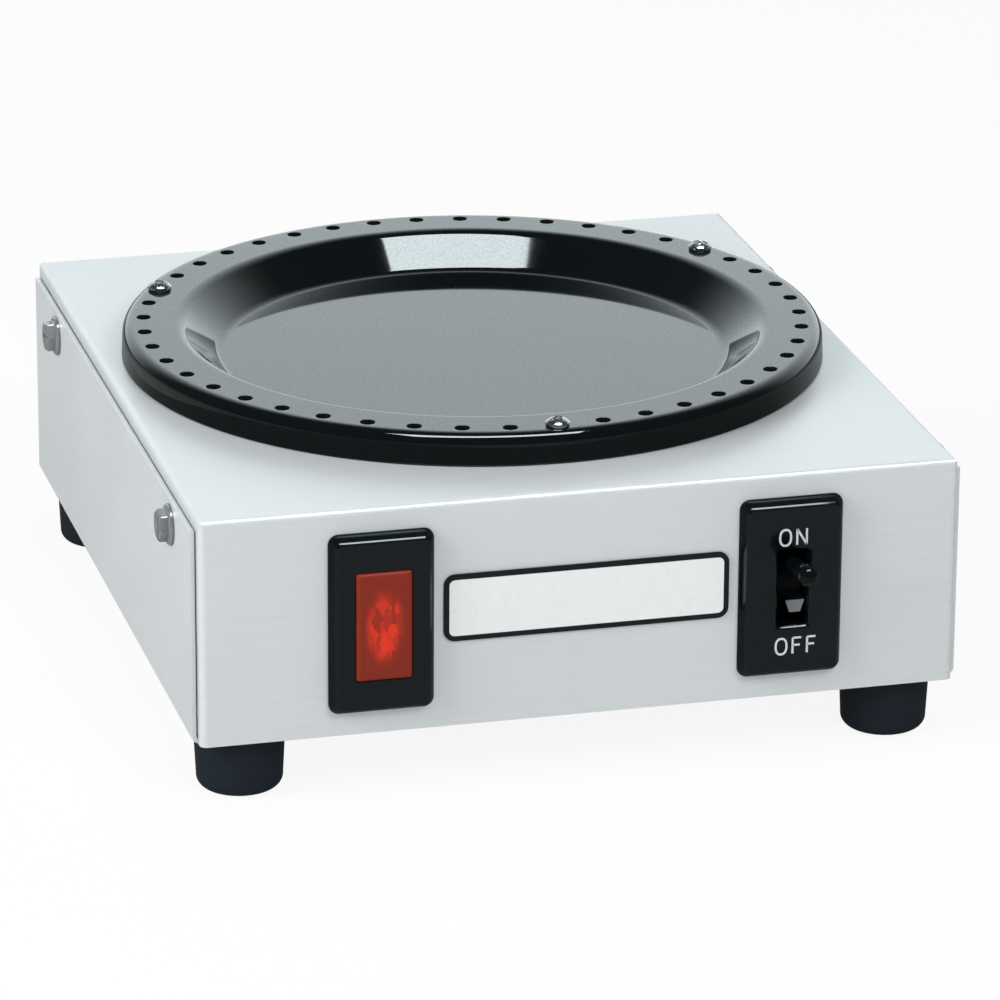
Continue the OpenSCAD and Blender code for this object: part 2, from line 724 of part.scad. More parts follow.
module pressure_plate() {
  cup_r = element_d / 2 + cup_gap;
  color([0.68, 0.69, 0.7]) difference() {
    translate([0, plate_y, cup_low_z]) cylinder(r = cup_r + sheet_t, h = sheet_t + cup_edge);
    translate([0, plate_y, cup_z]) cylinder(r = cup_r, h = cup_edge + 1);
    translate([0, plate_y, cup_low_z - 1]) cylinder(r = stud_d / 2 + stud_gap, h = sheet_t + 2);
    at_heater_tabs() translate([0, 0, cup_low_z - 1]) cylinder(d = bush_d + 2 * tab_gap, h = sheet_t + 2);
  }
}

module clamp_washer() {
  color([0.72, 0.72, 0.72]) translate([0, plate_y, cup_low_z - clamp_washer_t])
    washer(clamp_washer_d, clamp_washer_t, stud_d / 2 + stud_gap);
}

module clamp_nut() {
  color([0.72, 0.72, 0.68]) translate([0, plate_y, cup_low_z - clamp_washer_t - clamp_nut_h])
    hex_nut(clamp_nut_af, clamp_nut_h, stud_d / 2 + shank_gap);
}

module heater_bushes() {
  color([0.9, 0.88, 0.84]) at_heater_tabs() difference() {
    translate([0, 0, bush_low_z]) cylinder(d = bush_d, h = pad_z - bush_low_z);
    translate([0, 0, pad_z]) cube([tab_w + 2 * tab_gap, tab_t + 2 * tab_gap, 60], center = true);
  }
}

module heater_tabs() {
  color([0.75, 0.68, 0.4]) at_heater_tabs()
    translate([-tab_w / 2, -tab_t / 2, heater_tab_low_z]) cube([tab_w, tab_t, pad_z - heater_tab_low_z]);
}

// Rectangle raised to a height, with sides that slope in by bevel above a straight edge
module bevelled_block(w, h, high, edge, bevel) {
  intersection() {
    rotate([90, 0, 0]) linear_extrude(height = h, center = true) polygon([
      [-w / 2, 0], [w / 2, 0], [w / 2, edge], [w / 2 - bevel, high], [bevel - w / 2, high], [-w / 2, edge]]);
    rotate([90, 0, 90]) linear_extrude(height = w, center = true) polygon([
      [-h / 2, 0], [h / 2, 0], [h / 2, edge], [h / 2 - bevel, high], [bevel - h / 2, high], [-h / 2, edge]]);
  }
}

// Moulded frame of a control, before its opening is cut
module bezel_block() {
  intersection() {
    bevelled_block(bezel_w, bezel_h, bezel_t, bezel_edge, bezel_bevel);
    linear_extrude(height = bezel_t) round_rect(bezel_w, bezel_h, bezel_round);
  }
}

// Box behind the panel, open to the front, with a snap barb above and below
module control_case(depth) {
  difference() {
    translate([0, 0, -depth / 2]) cube([case_w, case_h, depth], center = true);
    translate([0, 0, (case_rear - depth) / 2 + 1])
      cube([inner_w, inner_h, depth - case_rear + 2], center = true);
  }
  for (sy = [-1, 1]) mirror([0, sy < 0 ? 1 : 0, 0])
    translate([0, case_h / 2, 0]) rotate([90, 0, 90]) linear_extrude(height = case_w / 2, center = true)
      polygon([[-eps, -sheet_t - fold_gap], [barb_h, -sheet_t - fold_gap], [-eps, -sheet_t - 4]]);
}

module switch_bezel() {
  color([0.1, 0.11, 0.13]) on_panel(switch_x) difference() {
    bezel_block();
    cube([slot_w, slot_h, 4 * bezel_t], center = true);
    translate([0, 0, bezel_t + eps]) rotate([180, 0, 0])
      bevelled_block(slot_w + 2 * slot_chamfer, slot_h + 2 * slot_chamfer, slot_chamfer, eps, slot_chamfer);
  }
}

module switch_case() {
  boss_in = slot_w / 2;
  color([0.14, 0.14, 0.15]) on_panel(switch_x) difference() {
    union() {
      control_case(switch_case_d);
      for (side = [-1, 1])
        translate([side * (boss_in + inner_w / 2) / 2, 0, -pivot_depth]) rotate([0, 90, 0])
          cylinder(d = boss_d, h = inner_w / 2 - boss_in + 2 * eps, center = true);
    }
    translate([0, 0, -pivot_depth]) rotate([0, 90, 0])
      cylinder(d = pin_d + 2 * run_gap, h = case_w + 2, center = true);
    for (up = [0, -button_low])
      translate([0, up, -switch_case_d])
        cube([tab_w + 2 * tab_gap, tab_t + 2 * tab_gap, 4 * case_rear], center = true);
  }
}

// Frame of the lever, with z along it from the pivot to the tip
module on_lever() {
  on_panel(switch_x) translate([0, 0, -pivot_depth]) rotate([-lever_tilt, 0, 0]) children();
}

module toggle_lever() {
  bore_r = plunger_d / 2 + plunger_gap;
  color([0.07, 0.07, 0.08]) on_lever() difference() {
    union() {
      rotate([0, 90, 0]) cylinder(d = drum_d, h = slot_w - 2 * drum_gap, center = true);
      cylinder(d1 = root_d, d2 = tip_d, h = lever_len);
      translate([0, 0, lever_len]) sphere(d = tip_d);
      translate([0, 0, -tail_len]) cylinder(d = tail_d, h = tail_len);
    }
    rotate([0, 90, 0]) cylinder(d = pin_d + 2 * run_gap, h = slot_w, center = true);
    translate([0, 0, -tail_len - 1]) cylinder(r = bore_r, h = tail_len + 1 - bore_end);
  }
}

module lever_pin() {
  color([0.75, 0.75, 0.77]) on_panel(switch_x) translate([0, 0, -pivot_depth]) rotate([0, 90, 0])
    cylinder(d = pin_d, h = case_w, center = true);
}

module contact_plunger() {
  color([0.85, 0.8, 0.6]) on_lever() translate([0, 0, plunger_d / 2 - plunger_reach]) {
    sphere(d = plunger_d);
    cylinder(d = plunger_d, h = plunger_reach - plunger_d / 2 - plunger_head);
  }
}

module plunger_spring() {
  low = plunger_head - wire_r;
  high = bore_end + wire_r;
  steps = 42;
  coil = [for (i = [0:steps])
    [cos(360 * turns * i / steps), sin(360 * turns * i / steps), -low + (low - high) * i / steps]];
  color([0.7, 0.72, 0.75]) on_lever() tube(coil, wire_r, 6);
}

module contact_rocker() {
  color([0.78, 0.5, 0.3]) on_panel(switch_x) translate([0, 0, -pivot_depth - rocker_pivot])
    rotate([rocker_tilt, 0, 0]) translate([0, 0, rocker_pivot]) {
      rotate([90, 0, 90]) linear_extrude(height = rocker_w, center = true) {
        intersection() {
          difference() {
            circle(r = seat_r + rocker_t);
            circle(r = seat_r);
          }
          translate([-seat_half, -2 * seat_r]) square([2 * seat_half, 2 * seat_r]);
        }
        for (side = [-1, 1])
          translate([side * (seat_half + rocker_half) / 2, wing_z + rocker_t / 2])
            square([rocker_half - seat_half + 0.6, rocker_t], center = true);
      }
      translate([0, 0, -rocker_pivot]) rotate([0, 90, 0])
        cylinder(d = rocker_pin_d, h = 2 * (ear_x + ear_t) + 0.8, center = true);
      translate([0, -button_low, wing_z - button_h]) cylinder(d = button_d, h = button_h + eps);
    }
}

module common_terminal() {
  ear_h = rocker_back + rocker_pin_d;
  color([0.82, 0.7, 0.35]) on_panel(switch_x) translate([0, 0, switch_floor]) difference() {
    union() {
      translate([0, 0, ear_t / 2]) cube([2 * (ear_x + ear_t), ear_w, ear_t], center = true);
      for (side = [-1, 1])
        translate([side * (ear_x + ear_t / 2), 0, ear_h / 2]) cube([ear_t, ear_w, ear_h], center = true);
      translate([-tab_w / 2, -tab_t / 2, -case_rear - tab_len])
        cube([tab_w, tab_t, case_rear + tab_len + eps]);
    }
    translate([0, 0, rocker_back]) rotate([0, 90, 0])
      cylinder(d = rocker_pin_d + 2 * run_gap, h = 4 * ear_x, center = true);
  }
}

module load_terminal() {
  post_h = rocker_back + fixed_face;
  color([0.82, 0.7, 0.35]) on_panel(switch_x) translate([0, -button_low, switch_floor]) {
    translate([0, -1, ear_t / 2]) cube([tab_w, 5, ear_t], center = true);
    cylinder(d = button_d, h = post_h);
    translate([-tab_w / 2, -tab_t / 2, -case_rear - tab_len])
      cube([tab_w, tab_t, case_rear + tab_len + eps]);
  }
}

module lamp_bezel() {
  color([0.1, 0.11, 0.13]) on_panel(-lamp_x) difference() {
    bezel_block();
    cube([lens_w + 2 * lens_gap, lens_h + 2 * lens_gap, 4 * bezel_t], center = true);
  }
}

module lamp_lens() {
  face = bezel_t + lens_proud;
  color([0.8, 0.12, 0.1, 0.7]) on_panel(-lamp_x) difference() {
    union() {
      bevelled_block(lens_w, lens_h, face, face - lens_bevel, lens_bevel);
      translate([0, 0, -lens_foot / 2])
        cube([inner_w - 2 * cut_gap, inner_h - 2 * cut_gap, lens_foot], center = true);
    }
    translate([0, 0, face - lens_wall - 10])
      cube([lens_w - 2 * lens_wall, lens_h - 2 * lens_wall, 20], center = true);
  }
}

module lamp_case() {
  color([0.14, 0.14, 0.15]) on_panel(-lamp_x) difference() {
    control_case(lamp_case_d);
    for (up = [-lamp_tab_up, lamp_tab_up])
      translate([0, up, -lamp_case_d])
        cube([tab_w + 2 * tab_gap, tab_t + 2 * tab_gap, 4 * case_rear], center = true);
  }
}

module lamp_reflector() {
  mouth = inner_w - 2;
  trough = lamp_len - 3;
  color([0.92, 0.92, 0.9]) on_panel(-lamp_x) difference() {
    translate([0, 0, (reflector_front + reflector_back) / 2])
      cube([inner_w - 2 * cut_gap, inner_h - 2 * cut_gap, reflector_d], center = true);
    rotate([90, 0, 0]) linear_extrude(height = trough, center = true) polygon([
      [-mouth / 2, reflector_front + eps], [mouth / 2, reflector_front + eps],
      [mouth * 0.3, reflector_back + 1], [-mouth * 0.3, reflector_back + 1]]);
    translate([0, 0, lamp_n]) rotate([90, 0, 0])
      cylinder(d = lamp_d + 2 * lens_gap, h = lamp_len + 2 * lens_gap, center = true);
  }
}

module neon_lamp() {
  color([0.95, 0.75, 0.6, 0.6]) on_panel(-lamp_x) translate([0, 0, lamp_n]) rotate([90, 0, 0]) {
    translate([0, 0, -lamp_len / 2]) cylinder(d = lamp_d, h = lamp_len - lamp_d / 2);
    translate([0, 0, lamp_len / 2 - lamp_d / 2]) sphere(d = lamp_d);
  }
}

module lamp_resistor() {
  mid_n = (reflector_back + case_rear - lamp_case_d) / 2;
  color([0.75, 0.66, 0.5]) on_panel(-lamp_x) translate([0, 0, mid_n]) rotate([90, 0, 0]) {
    cylinder(d = resistor_d, h = resistor_len, center = true);
    cylinder(d = 0.6, h = 2 * lamp_tab_up - tab_t, center = true);
  }
}

module lamp_terminals() {
  inside = lamp_case_d + reflector_back - 0.2;
  color([0.82, 0.7, 0.35]) on_panel(-lamp_x) for (up = [-lamp_tab_up, lamp_tab_up])
    translate([-tab_w / 2, up - tab_t / 2, -lamp_case_d - tab_len]) cube([tab_w, tab_t, tab_len + inside]);
}

module blank_plate() {
  color([0.85, 0.86, 0.87]) on_panel((switch_x - lamp_x) / 2) translate([0, blank_up, 0])
    linear_extrude(height = blank_t) round_rect(blank_w, blank_h, blank_r);
}

module cord_gland() {
  bore_r = gland_bore_d / 2;
  neck_r = gland_neck_d / 2;
  snap = sheet_t + fold_gap;
  color([0.09, 0.09, 0.1]) translate([gland_x, back_y, gland_z]) rotate([-90, 0, 0]) rotate_extrude()
    polygon([
      [bore_r, -gland_tail], [neck_r - 0.6, -gland_tail], [neck_r + 0.8, -snap], [neck_r, -snap], [neck_r, 0],
      [gland_flange_d / 2, 0], [gland_flange_d / 2, gland_flange_t - 1],
      [gland_flange_d / 2 - 1, gland_flange_t], [bore_r, gland_flange_t]]);
}

module terminal_block() {
  color([0.86, 0.84, 0.76]) difference() {
    union() {
      translate([block_x - block_w / 2, block_front_y, floor_z]) cube([block_w, block_d, block_h]);
      translate([block_x - block_w / 2 - block_ear, block_y - block_d / 4, floor_z])
        cube([block_w + 2 * block_ear, block_d / 2, block_ear_t]);
    }
    at_poles() translate([-pole_w / 2 + 1, -block_d / 2 - 1, strip_z])
      cube([pole_w - 2, block_d + 2, block_h]);
    at_poles() for (end = [-1, 1])
      translate([0, end * block_d / 4, strip_z - 4]) cylinder(r = small_hole_r, h = 10);
    at_block_screws() translate([0, 0, floor_z - 1]) cylinder(r = small_hole_r, h = block_ear_t + 2);
  }
}

module terminal_strips() {
  color([0.82, 0.7, 0.35]) at_poles() difference() {
    translate([-pole_w / 2 + 1.5, -block_d / 2 + 1, strip_z]) cube([pole_w - 3, block_d - 2, strip_t]);
    for (end = [-1, 1]) translate([0, end * block_d / 4, strip_z - 1]) cylinder(r = small_hole_r, h = 3);
  }
}

module terminal_screws() {
  color([0.78, 0.78, 0.72]) at_poles() for (end = [-1, 1]) translate([0, end * block_d / 4, strip_z]) {
    translate([0, 0, strip_t]) pan_head(pan_head_d, pan_head_h);
    translate([0, 0, -small_shank_d]) cylinder(d = small_shank_d, h = small_shank_d + strip_t + eps);
  }
}

module block_screws() {
  color([0.75, 0.75, 0.77]) at_block_screws() {
    translate([0, 0, floor_z + block_ear_t]) pan_head(pan_head_d, pan_head_h);
    translate([0, 0, base_z - thread_end])
      cylinder(d = small_shank_d, h = thread_end + sheet_t + block_ear_t + eps);
  }
}

module ground_screw() {
  reach = lug_t + sheet_t + thread_end;
  color([0.35, 0.55, 0.35]) translate([ground_mid_x, ground_y, floor_z + lug_t]) {
    cylinder(d = hex_washer_d, h = hex_washer_t);
    hex_prism(hex_head_af, hex_washer_t + hex_head_h);
    translate([0, 0, -reach]) cylinder(d = shank_d, h = reach + eps);
  }
}

module ground_lug() {
  barrel_d = lead_d + lug_t;
  color([0.8, 0.78, 0.7]) translate([ground_mid_x, ground_y, floor_z]) {
    difference() {
      union() {
        cylinder(d = hex_washer_d, h = lug_t);
        translate([0, -barrel_d / 2, 0]) cube([lug_len - 1, barrel_d, lug_t]);
      }
      translate([0, 0, -1]) cylinder(d = shank_d + 2 * shank_gap, h = lug_t + 2);
    }
    translate([lug_len - barrel_len, 0, barrel_z]) rotate([0, 90, 0]) cylinder(d = barrel_d, h = barrel_len);
  }
}

// Insulating sleeve over a tab, open towards -z where the lead enters
module sleeve() {
  difference() {
    translate([-sleeve_w / 2, -sleeve_h / 2, -sleeve_len]) cube([sleeve_w, sleeve_h, sleeve_len]);
    translate([0, 0, -sleeve_len / 2 + 1.5])
      cube([tab_w + 2 * tab_gap, tab_t + 2 * tab_gap, sleeve_len], center = true);
  }
}

module tab_sleeves() {
  color([0.55, 0.12, 0.12]) {
    on_panel(switch_x) for (up = [0, -button_low])
      translate([0, up, -switch_case_d - sleeve_root]) sleeve();
    on_panel(-lamp_x) for (up = [-lamp_tab_up, lamp_tab_up])
      translate([0, up, -lamp_case_d - sleeve_root]) sleeve();
    at_heater_tabs() translate([0, 0, bush_low_z - sleeve_root]) sleeve();
  }
}

// Ends of the leads
line_start = panel_point(switch_x, 0, switch_lead_n);
load_start = panel_point(switch_x - lead_d, -button_low, switch_lead_n);
lamp_load_start = panel_point(switch_x + lead_d, -button_low, switch_lead_n);
lamp_low_end = panel_point(-lamp_x, -lamp_tab_up, lamp_lead_n);
lamp_high_end = panel_point(-lamp_x, lamp_tab_up, lamp_lead_n);
function heater_end(side) = [side * heater_tab_x, heater_tab_y, heater_sleeve_low_z];
function pole_end(i, shift) =
  [block_x + (i - (poles - 1) / 2) * pole_w + shift, block_front_y + 1, pole_lead_z];
lead_low = floor_z + 1.6 * lead_d;

// Lead through a list of points, straight in its first and last stretch
module lead(points) {
  last = len(points) - 1;
  bends = [for (i = [1:last - 1]) points[i]];
  tube(concat([points[0]], smooth(bends, 4), [points[last]]), lead_d / 2, 8);
}

module line_lead() {
  end = pole_end(2, 0);
  color([0.1, 0.1, 0.1]) lead([
    line_start, line_start + [0, 4, 0], line_start + [3, 20, -6],
    end + [4, -40, 8], end + [0, -10, 0], end]);
}

module load_lead() {
  end = heater_end(1);
  color([0.7, 0.1, 0.1]) lead([
    load_start, load_start + [0, 4, 0], load_start + [-6, 15, -4],
    end + [6, -9, -11], end + [0, 0, -4], end]);
}

module neutral_lead() {
  start = heater_end(-1);
  end = pole_end(1, lead_d / 1.5);
  color([0.9, 0.9, 0.88]) lead([
    start, start + [0, 0, -4], start + [6, 6, -11],
    [0, plate_y, floor_z + 12], end + [-8, -18, 2], end + [0, -8, 0], end]);
}

module lamp_load_lead() {
  color([0.7, 0.1, 0.1]) lead([
    lamp_load_start, lamp_load_start + [0, 4, 0], [switch_x - 4, front_y + 66, lead_low + 4],
    [switch_x / 3, front_y + 66, lead_low], [-lamp_x / 2, front_y + 62, lead_low],
    lamp_low_end + [4, 18, -7], lamp_low_end + [0, 4, 0], lamp_low_end]);
}

module lamp_neutral_lead() {
  end = pole_end(1, -lead_d / 1.5);
  color([0.9, 0.9, 0.88]) lead([
    lamp_high_end, lamp_high_end + [0, 4, 0], lamp_high_end + [1, 26, -12],
    [6 - lamp_x, plate_y - 12, lead_low + 2], [-lamp_x / 4, plate_y + 22, lead_low],
    end + [-12, -14, -3], end + [0, -6, 0], end]);
}

module ground_lead() {
  start = [ground_mid_x + lug_len, ground_y, floor_z + barrel_z];
  end = pole_end(0, 0);
  color([0.15, 0.5, 0.2]) lead([
    start, start + [3, 0, 0], [end[0] - 9, block_front_y - 4, end[2] - 2],
    end + [-2, -10, 0], end + [0, -5, 0], end]);
}

top_cover();
base_pan();
side_screws();
side_nuts();
rubber_feet();
foot_screws();
foot_washers();
foot_nuts();
warmer_plate();
plate_screws();
plate_spacers();
plate_nuts();
clamp_stud();
heater_element();
insulation_pad();
pressure_plate();
clamp_washer();
clamp_nut();
heater_bushes();
heater_tabs();
switch_bezel();
switch_case();
toggle_lever();
lever_pin();
contact_plunger();
plunger_spring();
contact_rocker();
common_terminal();
load_terminal();
lamp_bezel();
lamp_lens();
lamp_case();
lamp_reflector();
neon_lamp();
lamp_resistor();
lamp_terminals();
blank_plate();
cord_gland();
terminal_block();
terminal_strips();
terminal_screws();
block_screws();
ground_screw();
ground_lug();
tab_sleeves();
line_lead();
load_lead();
neutral_lead();
lamp_load_lead();
lamp_neutral_lead();
ground_lead();
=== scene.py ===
"""Coffee warmer plate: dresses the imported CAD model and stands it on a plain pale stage."""
import logging
import math
from dataclasses import dataclass
from enum import Enum
from typing import Mapping, Sequence

import bmesh
import bpy
import numpy as np
from mathutils import Matrix


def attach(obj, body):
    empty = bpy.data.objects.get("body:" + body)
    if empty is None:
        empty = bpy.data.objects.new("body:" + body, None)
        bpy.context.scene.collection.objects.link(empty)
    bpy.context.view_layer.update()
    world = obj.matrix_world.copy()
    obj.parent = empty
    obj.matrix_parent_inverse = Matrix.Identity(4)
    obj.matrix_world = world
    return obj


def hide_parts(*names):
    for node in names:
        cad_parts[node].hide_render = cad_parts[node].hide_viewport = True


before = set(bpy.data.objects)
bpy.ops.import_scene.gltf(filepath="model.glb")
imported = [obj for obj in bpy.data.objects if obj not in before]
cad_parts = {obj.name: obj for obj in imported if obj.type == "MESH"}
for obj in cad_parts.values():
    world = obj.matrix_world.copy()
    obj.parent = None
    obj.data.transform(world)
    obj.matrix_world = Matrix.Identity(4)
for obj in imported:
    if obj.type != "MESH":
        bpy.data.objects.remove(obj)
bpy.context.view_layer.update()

MM = 0.001
TURN = 2 * math.pi
QUARTER = math.pi / 2
HOUSING = "housing"
TOGGLE = "toggle"
WHITE = (1.0, 1.0, 1.0, 1.0)
NO_TRIS = np.empty((0, 3), int)
Pair = tuple[float, float]
Rows = tuple[Pair, ...]
Point = tuple[float, float, float]
Colour = tuple[float, float, float]
Value = float | Sequence[float] | bpy.types.NodeSocket
log = logging.getLogger("warmer")

# Levels and places that the pieces share, in millimetres
BODY_Y = 6.566773
FRONT_Y = -84.433227
BACK_Y = 97.566773
PLATE_Y = 12.066773
TOP_Z = 65.5
CONTROL_Z = 40.0
LAMP_X = -44.5
SWITCH_X = 46.0

# Rows are the part's directions of a piece's own x, y and z
UPRIGHT = np.eye(3)
ON_PANEL = np.array([[1.0, 0.0, 0.0], [0.0, 0.0, 1.0], [0.0, -1.0, 0.0]])
ON_BACK = np.array([[-1.0, 0.0, 0.0], [0.0, 0.0, 1.0], [0.0, 1.0, 0.0]])
ON_LEFT = np.array([[0.0, -1.0, 0.0], [0.0, 0.0, 1.0], [-1.0, 0.0, 0.0]])
ON_RIGHT = np.array([[0.0, 1.0, 0.0], [0.0, 0.0, 1.0], [1.0, 0.0, 0.0]])


def linked(name: str, data: bpy.types.ID) -> bpy.types.Object:
    """Makes an object of some data at the world's origin and links it to the scene.

    Args:
        name: the object's name.
        data: its mesh, camera or light.

    Returns:
        The new object.
    """
    made = bpy.data.objects.new(name, data)
    bpy.context.scene.collection.objects.link(made)
    return made


def stood(made: bpy.types.Object, *columns: Sequence[float]) -> None:
    """Stands a camera or a lamp with its x, y and z along three directions, at a place in metres.

    Args:
        made: the object.
        columns: the three directions and the place.
    """
    turn = np.eye(4)
    turn[:3] = np.column_stack(columns)
    made.matrix_world = Matrix(turn.tolist())


def shaded(mesh: bpy.types.Mesh, sharp: float) -> None:
    """Shades a mesh smooth, apart from edges that turn by more than an angle in degrees."""
    mesh.polygons.foreach_set("use_smooth", np.ones(len(mesh.polygons), bool))
    mesh.set_sharp_from_angle(angle=math.radians(sharp))


def welded(mesh: bpy.types.Mesh, gap: float, upward: bool = False) -> None:
    """Merges the points of a mesh that lie together.

    Args:
        mesh: the mesh, changed in place.
        gap: distance in metres under which points are merged.
        upward: turns an open sheet's faces so that the one nearest to the middle faces upward.
    """
    work = bmesh.new()
    work.from_mesh(mesh)
    bmesh.ops.remove_doubles(work, verts=work.verts, dist=gap)
    if upward:
        bmesh.ops.recalc_face_normals(work, faces=work.faces)
        middle = min(work.faces, key=lambda face: face.calc_center_median().xy.length)
        if middle.normal.z < 0:
            bmesh.ops.reverse_faces(work, faces=work.faces)
    work.to_mesh(mesh)
    work.free()


def grid_quads(rows: int, cols: int, close_rows: bool, close_cols: bool) -> np.ndarray:
    """Quads between the points of a grid that is stored row by row.

    Args:
        rows: number of rows of points.
        cols: number of points in a row.
        close_rows: joins the last row to the first.
        close_cols: joins the last point of each row to its first.

    Returns:
        Indices, four a quad.
    """
    i, j = np.meshgrid(np.arange(rows if close_rows else rows - 1),
                       np.arange(cols if close_cols else cols - 1), indexing="ij")
    up, along = (i + 1) % rows, (j + 1) % cols
    corners = [i * cols + j, i * cols + along, up * cols + along, up * cols + j]
    return np.stack(corners, -1).reshape(-1, 4)


@dataclass
class Surface:
    """A mesh in millimetres: points, quads and triangles as whole arrays."""

    points: np.ndarray
    quads: np.ndarray
    tris: np.ndarray

    def outward(self) -> "Surface":
        """Turns a closed surface so that the volume inside it, summed over its faces, is positive.

        Returns:
            The surface with its faces outward.
        """
        fans = np.vstack([self.quads[:, [0, 1, 2]], self.quads[:, [0, 2, 3]], self.tris])
        a, b, c = np.moveaxis(self.points[fans], 1, 0)
        if np.einsum("ij,ij->", a, np.cross(b, c)) < 0:
            return Surface(self.points, self.quads[:, ::-1], self.tris[:, ::-1])
        return self

    def placed(self, origin: Sequence[float], axes: np.ndarray = UPRIGHT) -> "Surface":
        """Carries the surface to an origin, with its own axes along the rows given."""
        return Surface(self.points @ axes + np.asarray(origin, float), self.quads, self.tris)

    def to_object(self, name: str, sharp: float = 35.0) -> bpy.types.Object:
        """Makes a mesh object at the world's origin.

        Args:
            name: the object's name.
            sharp: angle in degrees over which an edge stays sharp.

        Returns:
            The new object, linked to the scene.
        """
        mesh = bpy.data.meshes.new(name)
        mesh.from_pydata(self.points * MM, [], self.quads.tolist() + self.tris.tolist())
        shaded(mesh, sharp)
        mesh.update()
        return linked(name, mesh)


def joined(parts: Sequence[Surface]) -> Surface:
    """Puts several surfaces into one, counting each one's indices on from those before it.

    Args:
        parts: the surfaces, in order.

    Returns:
        One surface.
    """
    starts = np.cumsum([0] + [len(p.points) for p in parts[:-1]])
    return Surface(np.vstack([p.points for p in parts]),
                   np.vstack([p.quads + s for p, s in zip(parts, starts)]),
                   np.vstack([p.tris + s for p, s in zip(parts, starts)]))


def loft(rings: np.ndarray, closed: bool = False,
         caps: tuple[bool, bool] = (True, True)) -> Surface:
    """Skin over a stack of rings, with a fan from the middle of an end ring as its cap.

    Args:
        rings: points, ring by ring, in the order of the stack.
        closed: joins the last ring to the first, as round a frame.
        caps: whether the first and the last ring are closed by a cap.

    Returns:
        The surface, turned outward.
    """
    rows, cols = rings.shape[:2]
    points, tris = rings.reshape(-1, 3), NO_TRIS
    for wanted, row in zip(caps, (0, rows - 1)):
        if wanted and not closed:
            edge = row * cols + np.arange(cols)
            fan = np.stack([edge, np.roll(edge, -1), np.full(cols, len(points))], -1)
            tris = np.vstack([tris, fan if row else fan[:, ::-1]])
            points = np.vstack([points, rings[row].mean(0)])
    return Surface(points, grid_quads(rows, cols, closed, True), tris).outward()


def circle(parts: int) -> np.ndarray:
    """Angles in radians of points spread evenly round a circle."""
    return np.linspace(0.0, TURN, parts, endpoint=False)


def around(angle: np.ndarray) -> np.ndarray:
    """Unit vectors (cos a, sin a) at angles in radians."""
    return np.stack([np.cos(angle), np.sin(angle)], -1)


def at_heights(flat: np.ndarray, heights: np.ndarray) -> np.ndarray:
    """Lifts rows of flat points to heights, given one a row or one a column."""
    return np.concatenate([flat, np.broadcast_to(heights, flat.shape[:2] + (1,))], -1)


def turned(profile: np.ndarray, angle: np.ndarray) -> np.ndarray:
    """Rings of a profile of radii and heights about z: (r cos a, r sin a, h) for each angle a."""
    return at_heights(profile[:, None, :1] * around(angle), profile[:, None, 1:])


def lathe(profile: np.ndarray, parts: int, closed: bool = False) -> Surface:
    """Turns a profile of radii and heights about z into a surface, capped or closed on itself."""
    return loft(turned(profile, circle(parts)), closed)


def arc(centre: Pair, radius: float, start: float, end: float, steps: int = 6) -> np.ndarray:
    """Points of an arc: centre + radius (cos a, sin a), for angles in degrees from start to end."""
    return np.asarray(centre) + radius * around(np.radians(np.linspace(start, end, steps + 1)))


def path(*parts: Sequence) -> np.ndarray:
    """Puts points, lists of points and arcs of a profile in one array, in order."""
    return np.vstack([np.atleast_2d(np.asarray(p, float)) for p in parts])


def beside(point: Pair, offsets: Rows) -> list[Pair]:
    """Points of a profile that lie at small offsets from one of its corners."""
    return [(point[0] + out, point[1] + up) for out, up in offsets]


def rounded_ring(width: float, height: float, radius: float, arc_steps: int = 8,
                 side_steps: int = 6) -> np.ndarray:
    """Rectangle with round corners: quarter circles with evenly parted straight sides between them.

    Args:
        width: size along x.
        height: size along y.
        radius: radius of the corners.
        arc_steps: parts of each corner.
        side_steps: parts of each side.

    Returns:
        Points in the plane, anticlockwise, the same number for any size.
    """
    signs = np.array([[1, 1], [-1, 1], [-1, -1], [1, -1]])
    centre = signs * (np.array([width, height]) / 2 - radius)
    angle = np.arange(4)[:, None] * QUARTER + np.linspace(0, QUARTER, arc_steps + 1)
    corner = centre[:, None] + radius * around(angle)
    share = np.linspace(0, 1, side_steps + 1)[None, 1:-1, None]
    side = corner[:, -1:] * (1 - share) + np.roll(corner[:, :1], -1, axis=0) * share
    return np.concatenate([corner, side], 1).reshape(-1, 2)


def rounded_stack(levels: Sequence[tuple[float, float, float, float]]) -> np.ndarray:
    """Rounded rectangles one above the other.

    Args:
        levels: width, height, corner radius and level of each ring.

    Returns:
        Rings for a loft.
    """
    rings = np.stack([rounded_ring(w, h, r) for w, h, r, _ in levels])
    return at_heights(rings, np.array([z for *_, z in levels])[:, None, None])


def smoothstep(low: float, high: float, value: np.ndarray) -> np.ndarray:
    """Rises from 0 at low to 1 at high as 3t^2 - 2t^3."""
    t = np.clip((value - low) / (high - low), 0, 1)
    return t * t * (3 - 2 * t)


def spun(turn: float) -> np.ndarray:
    """Axes turned about z by an angle in radians."""
    c, s = math.cos(turn), math.sin(turn)
    return np.array([[c, s, 0.0], [-s, c, 0.0], [0.0, 0.0, 1.0]])


RECESS_SLOPE = (0.8, 1.2)


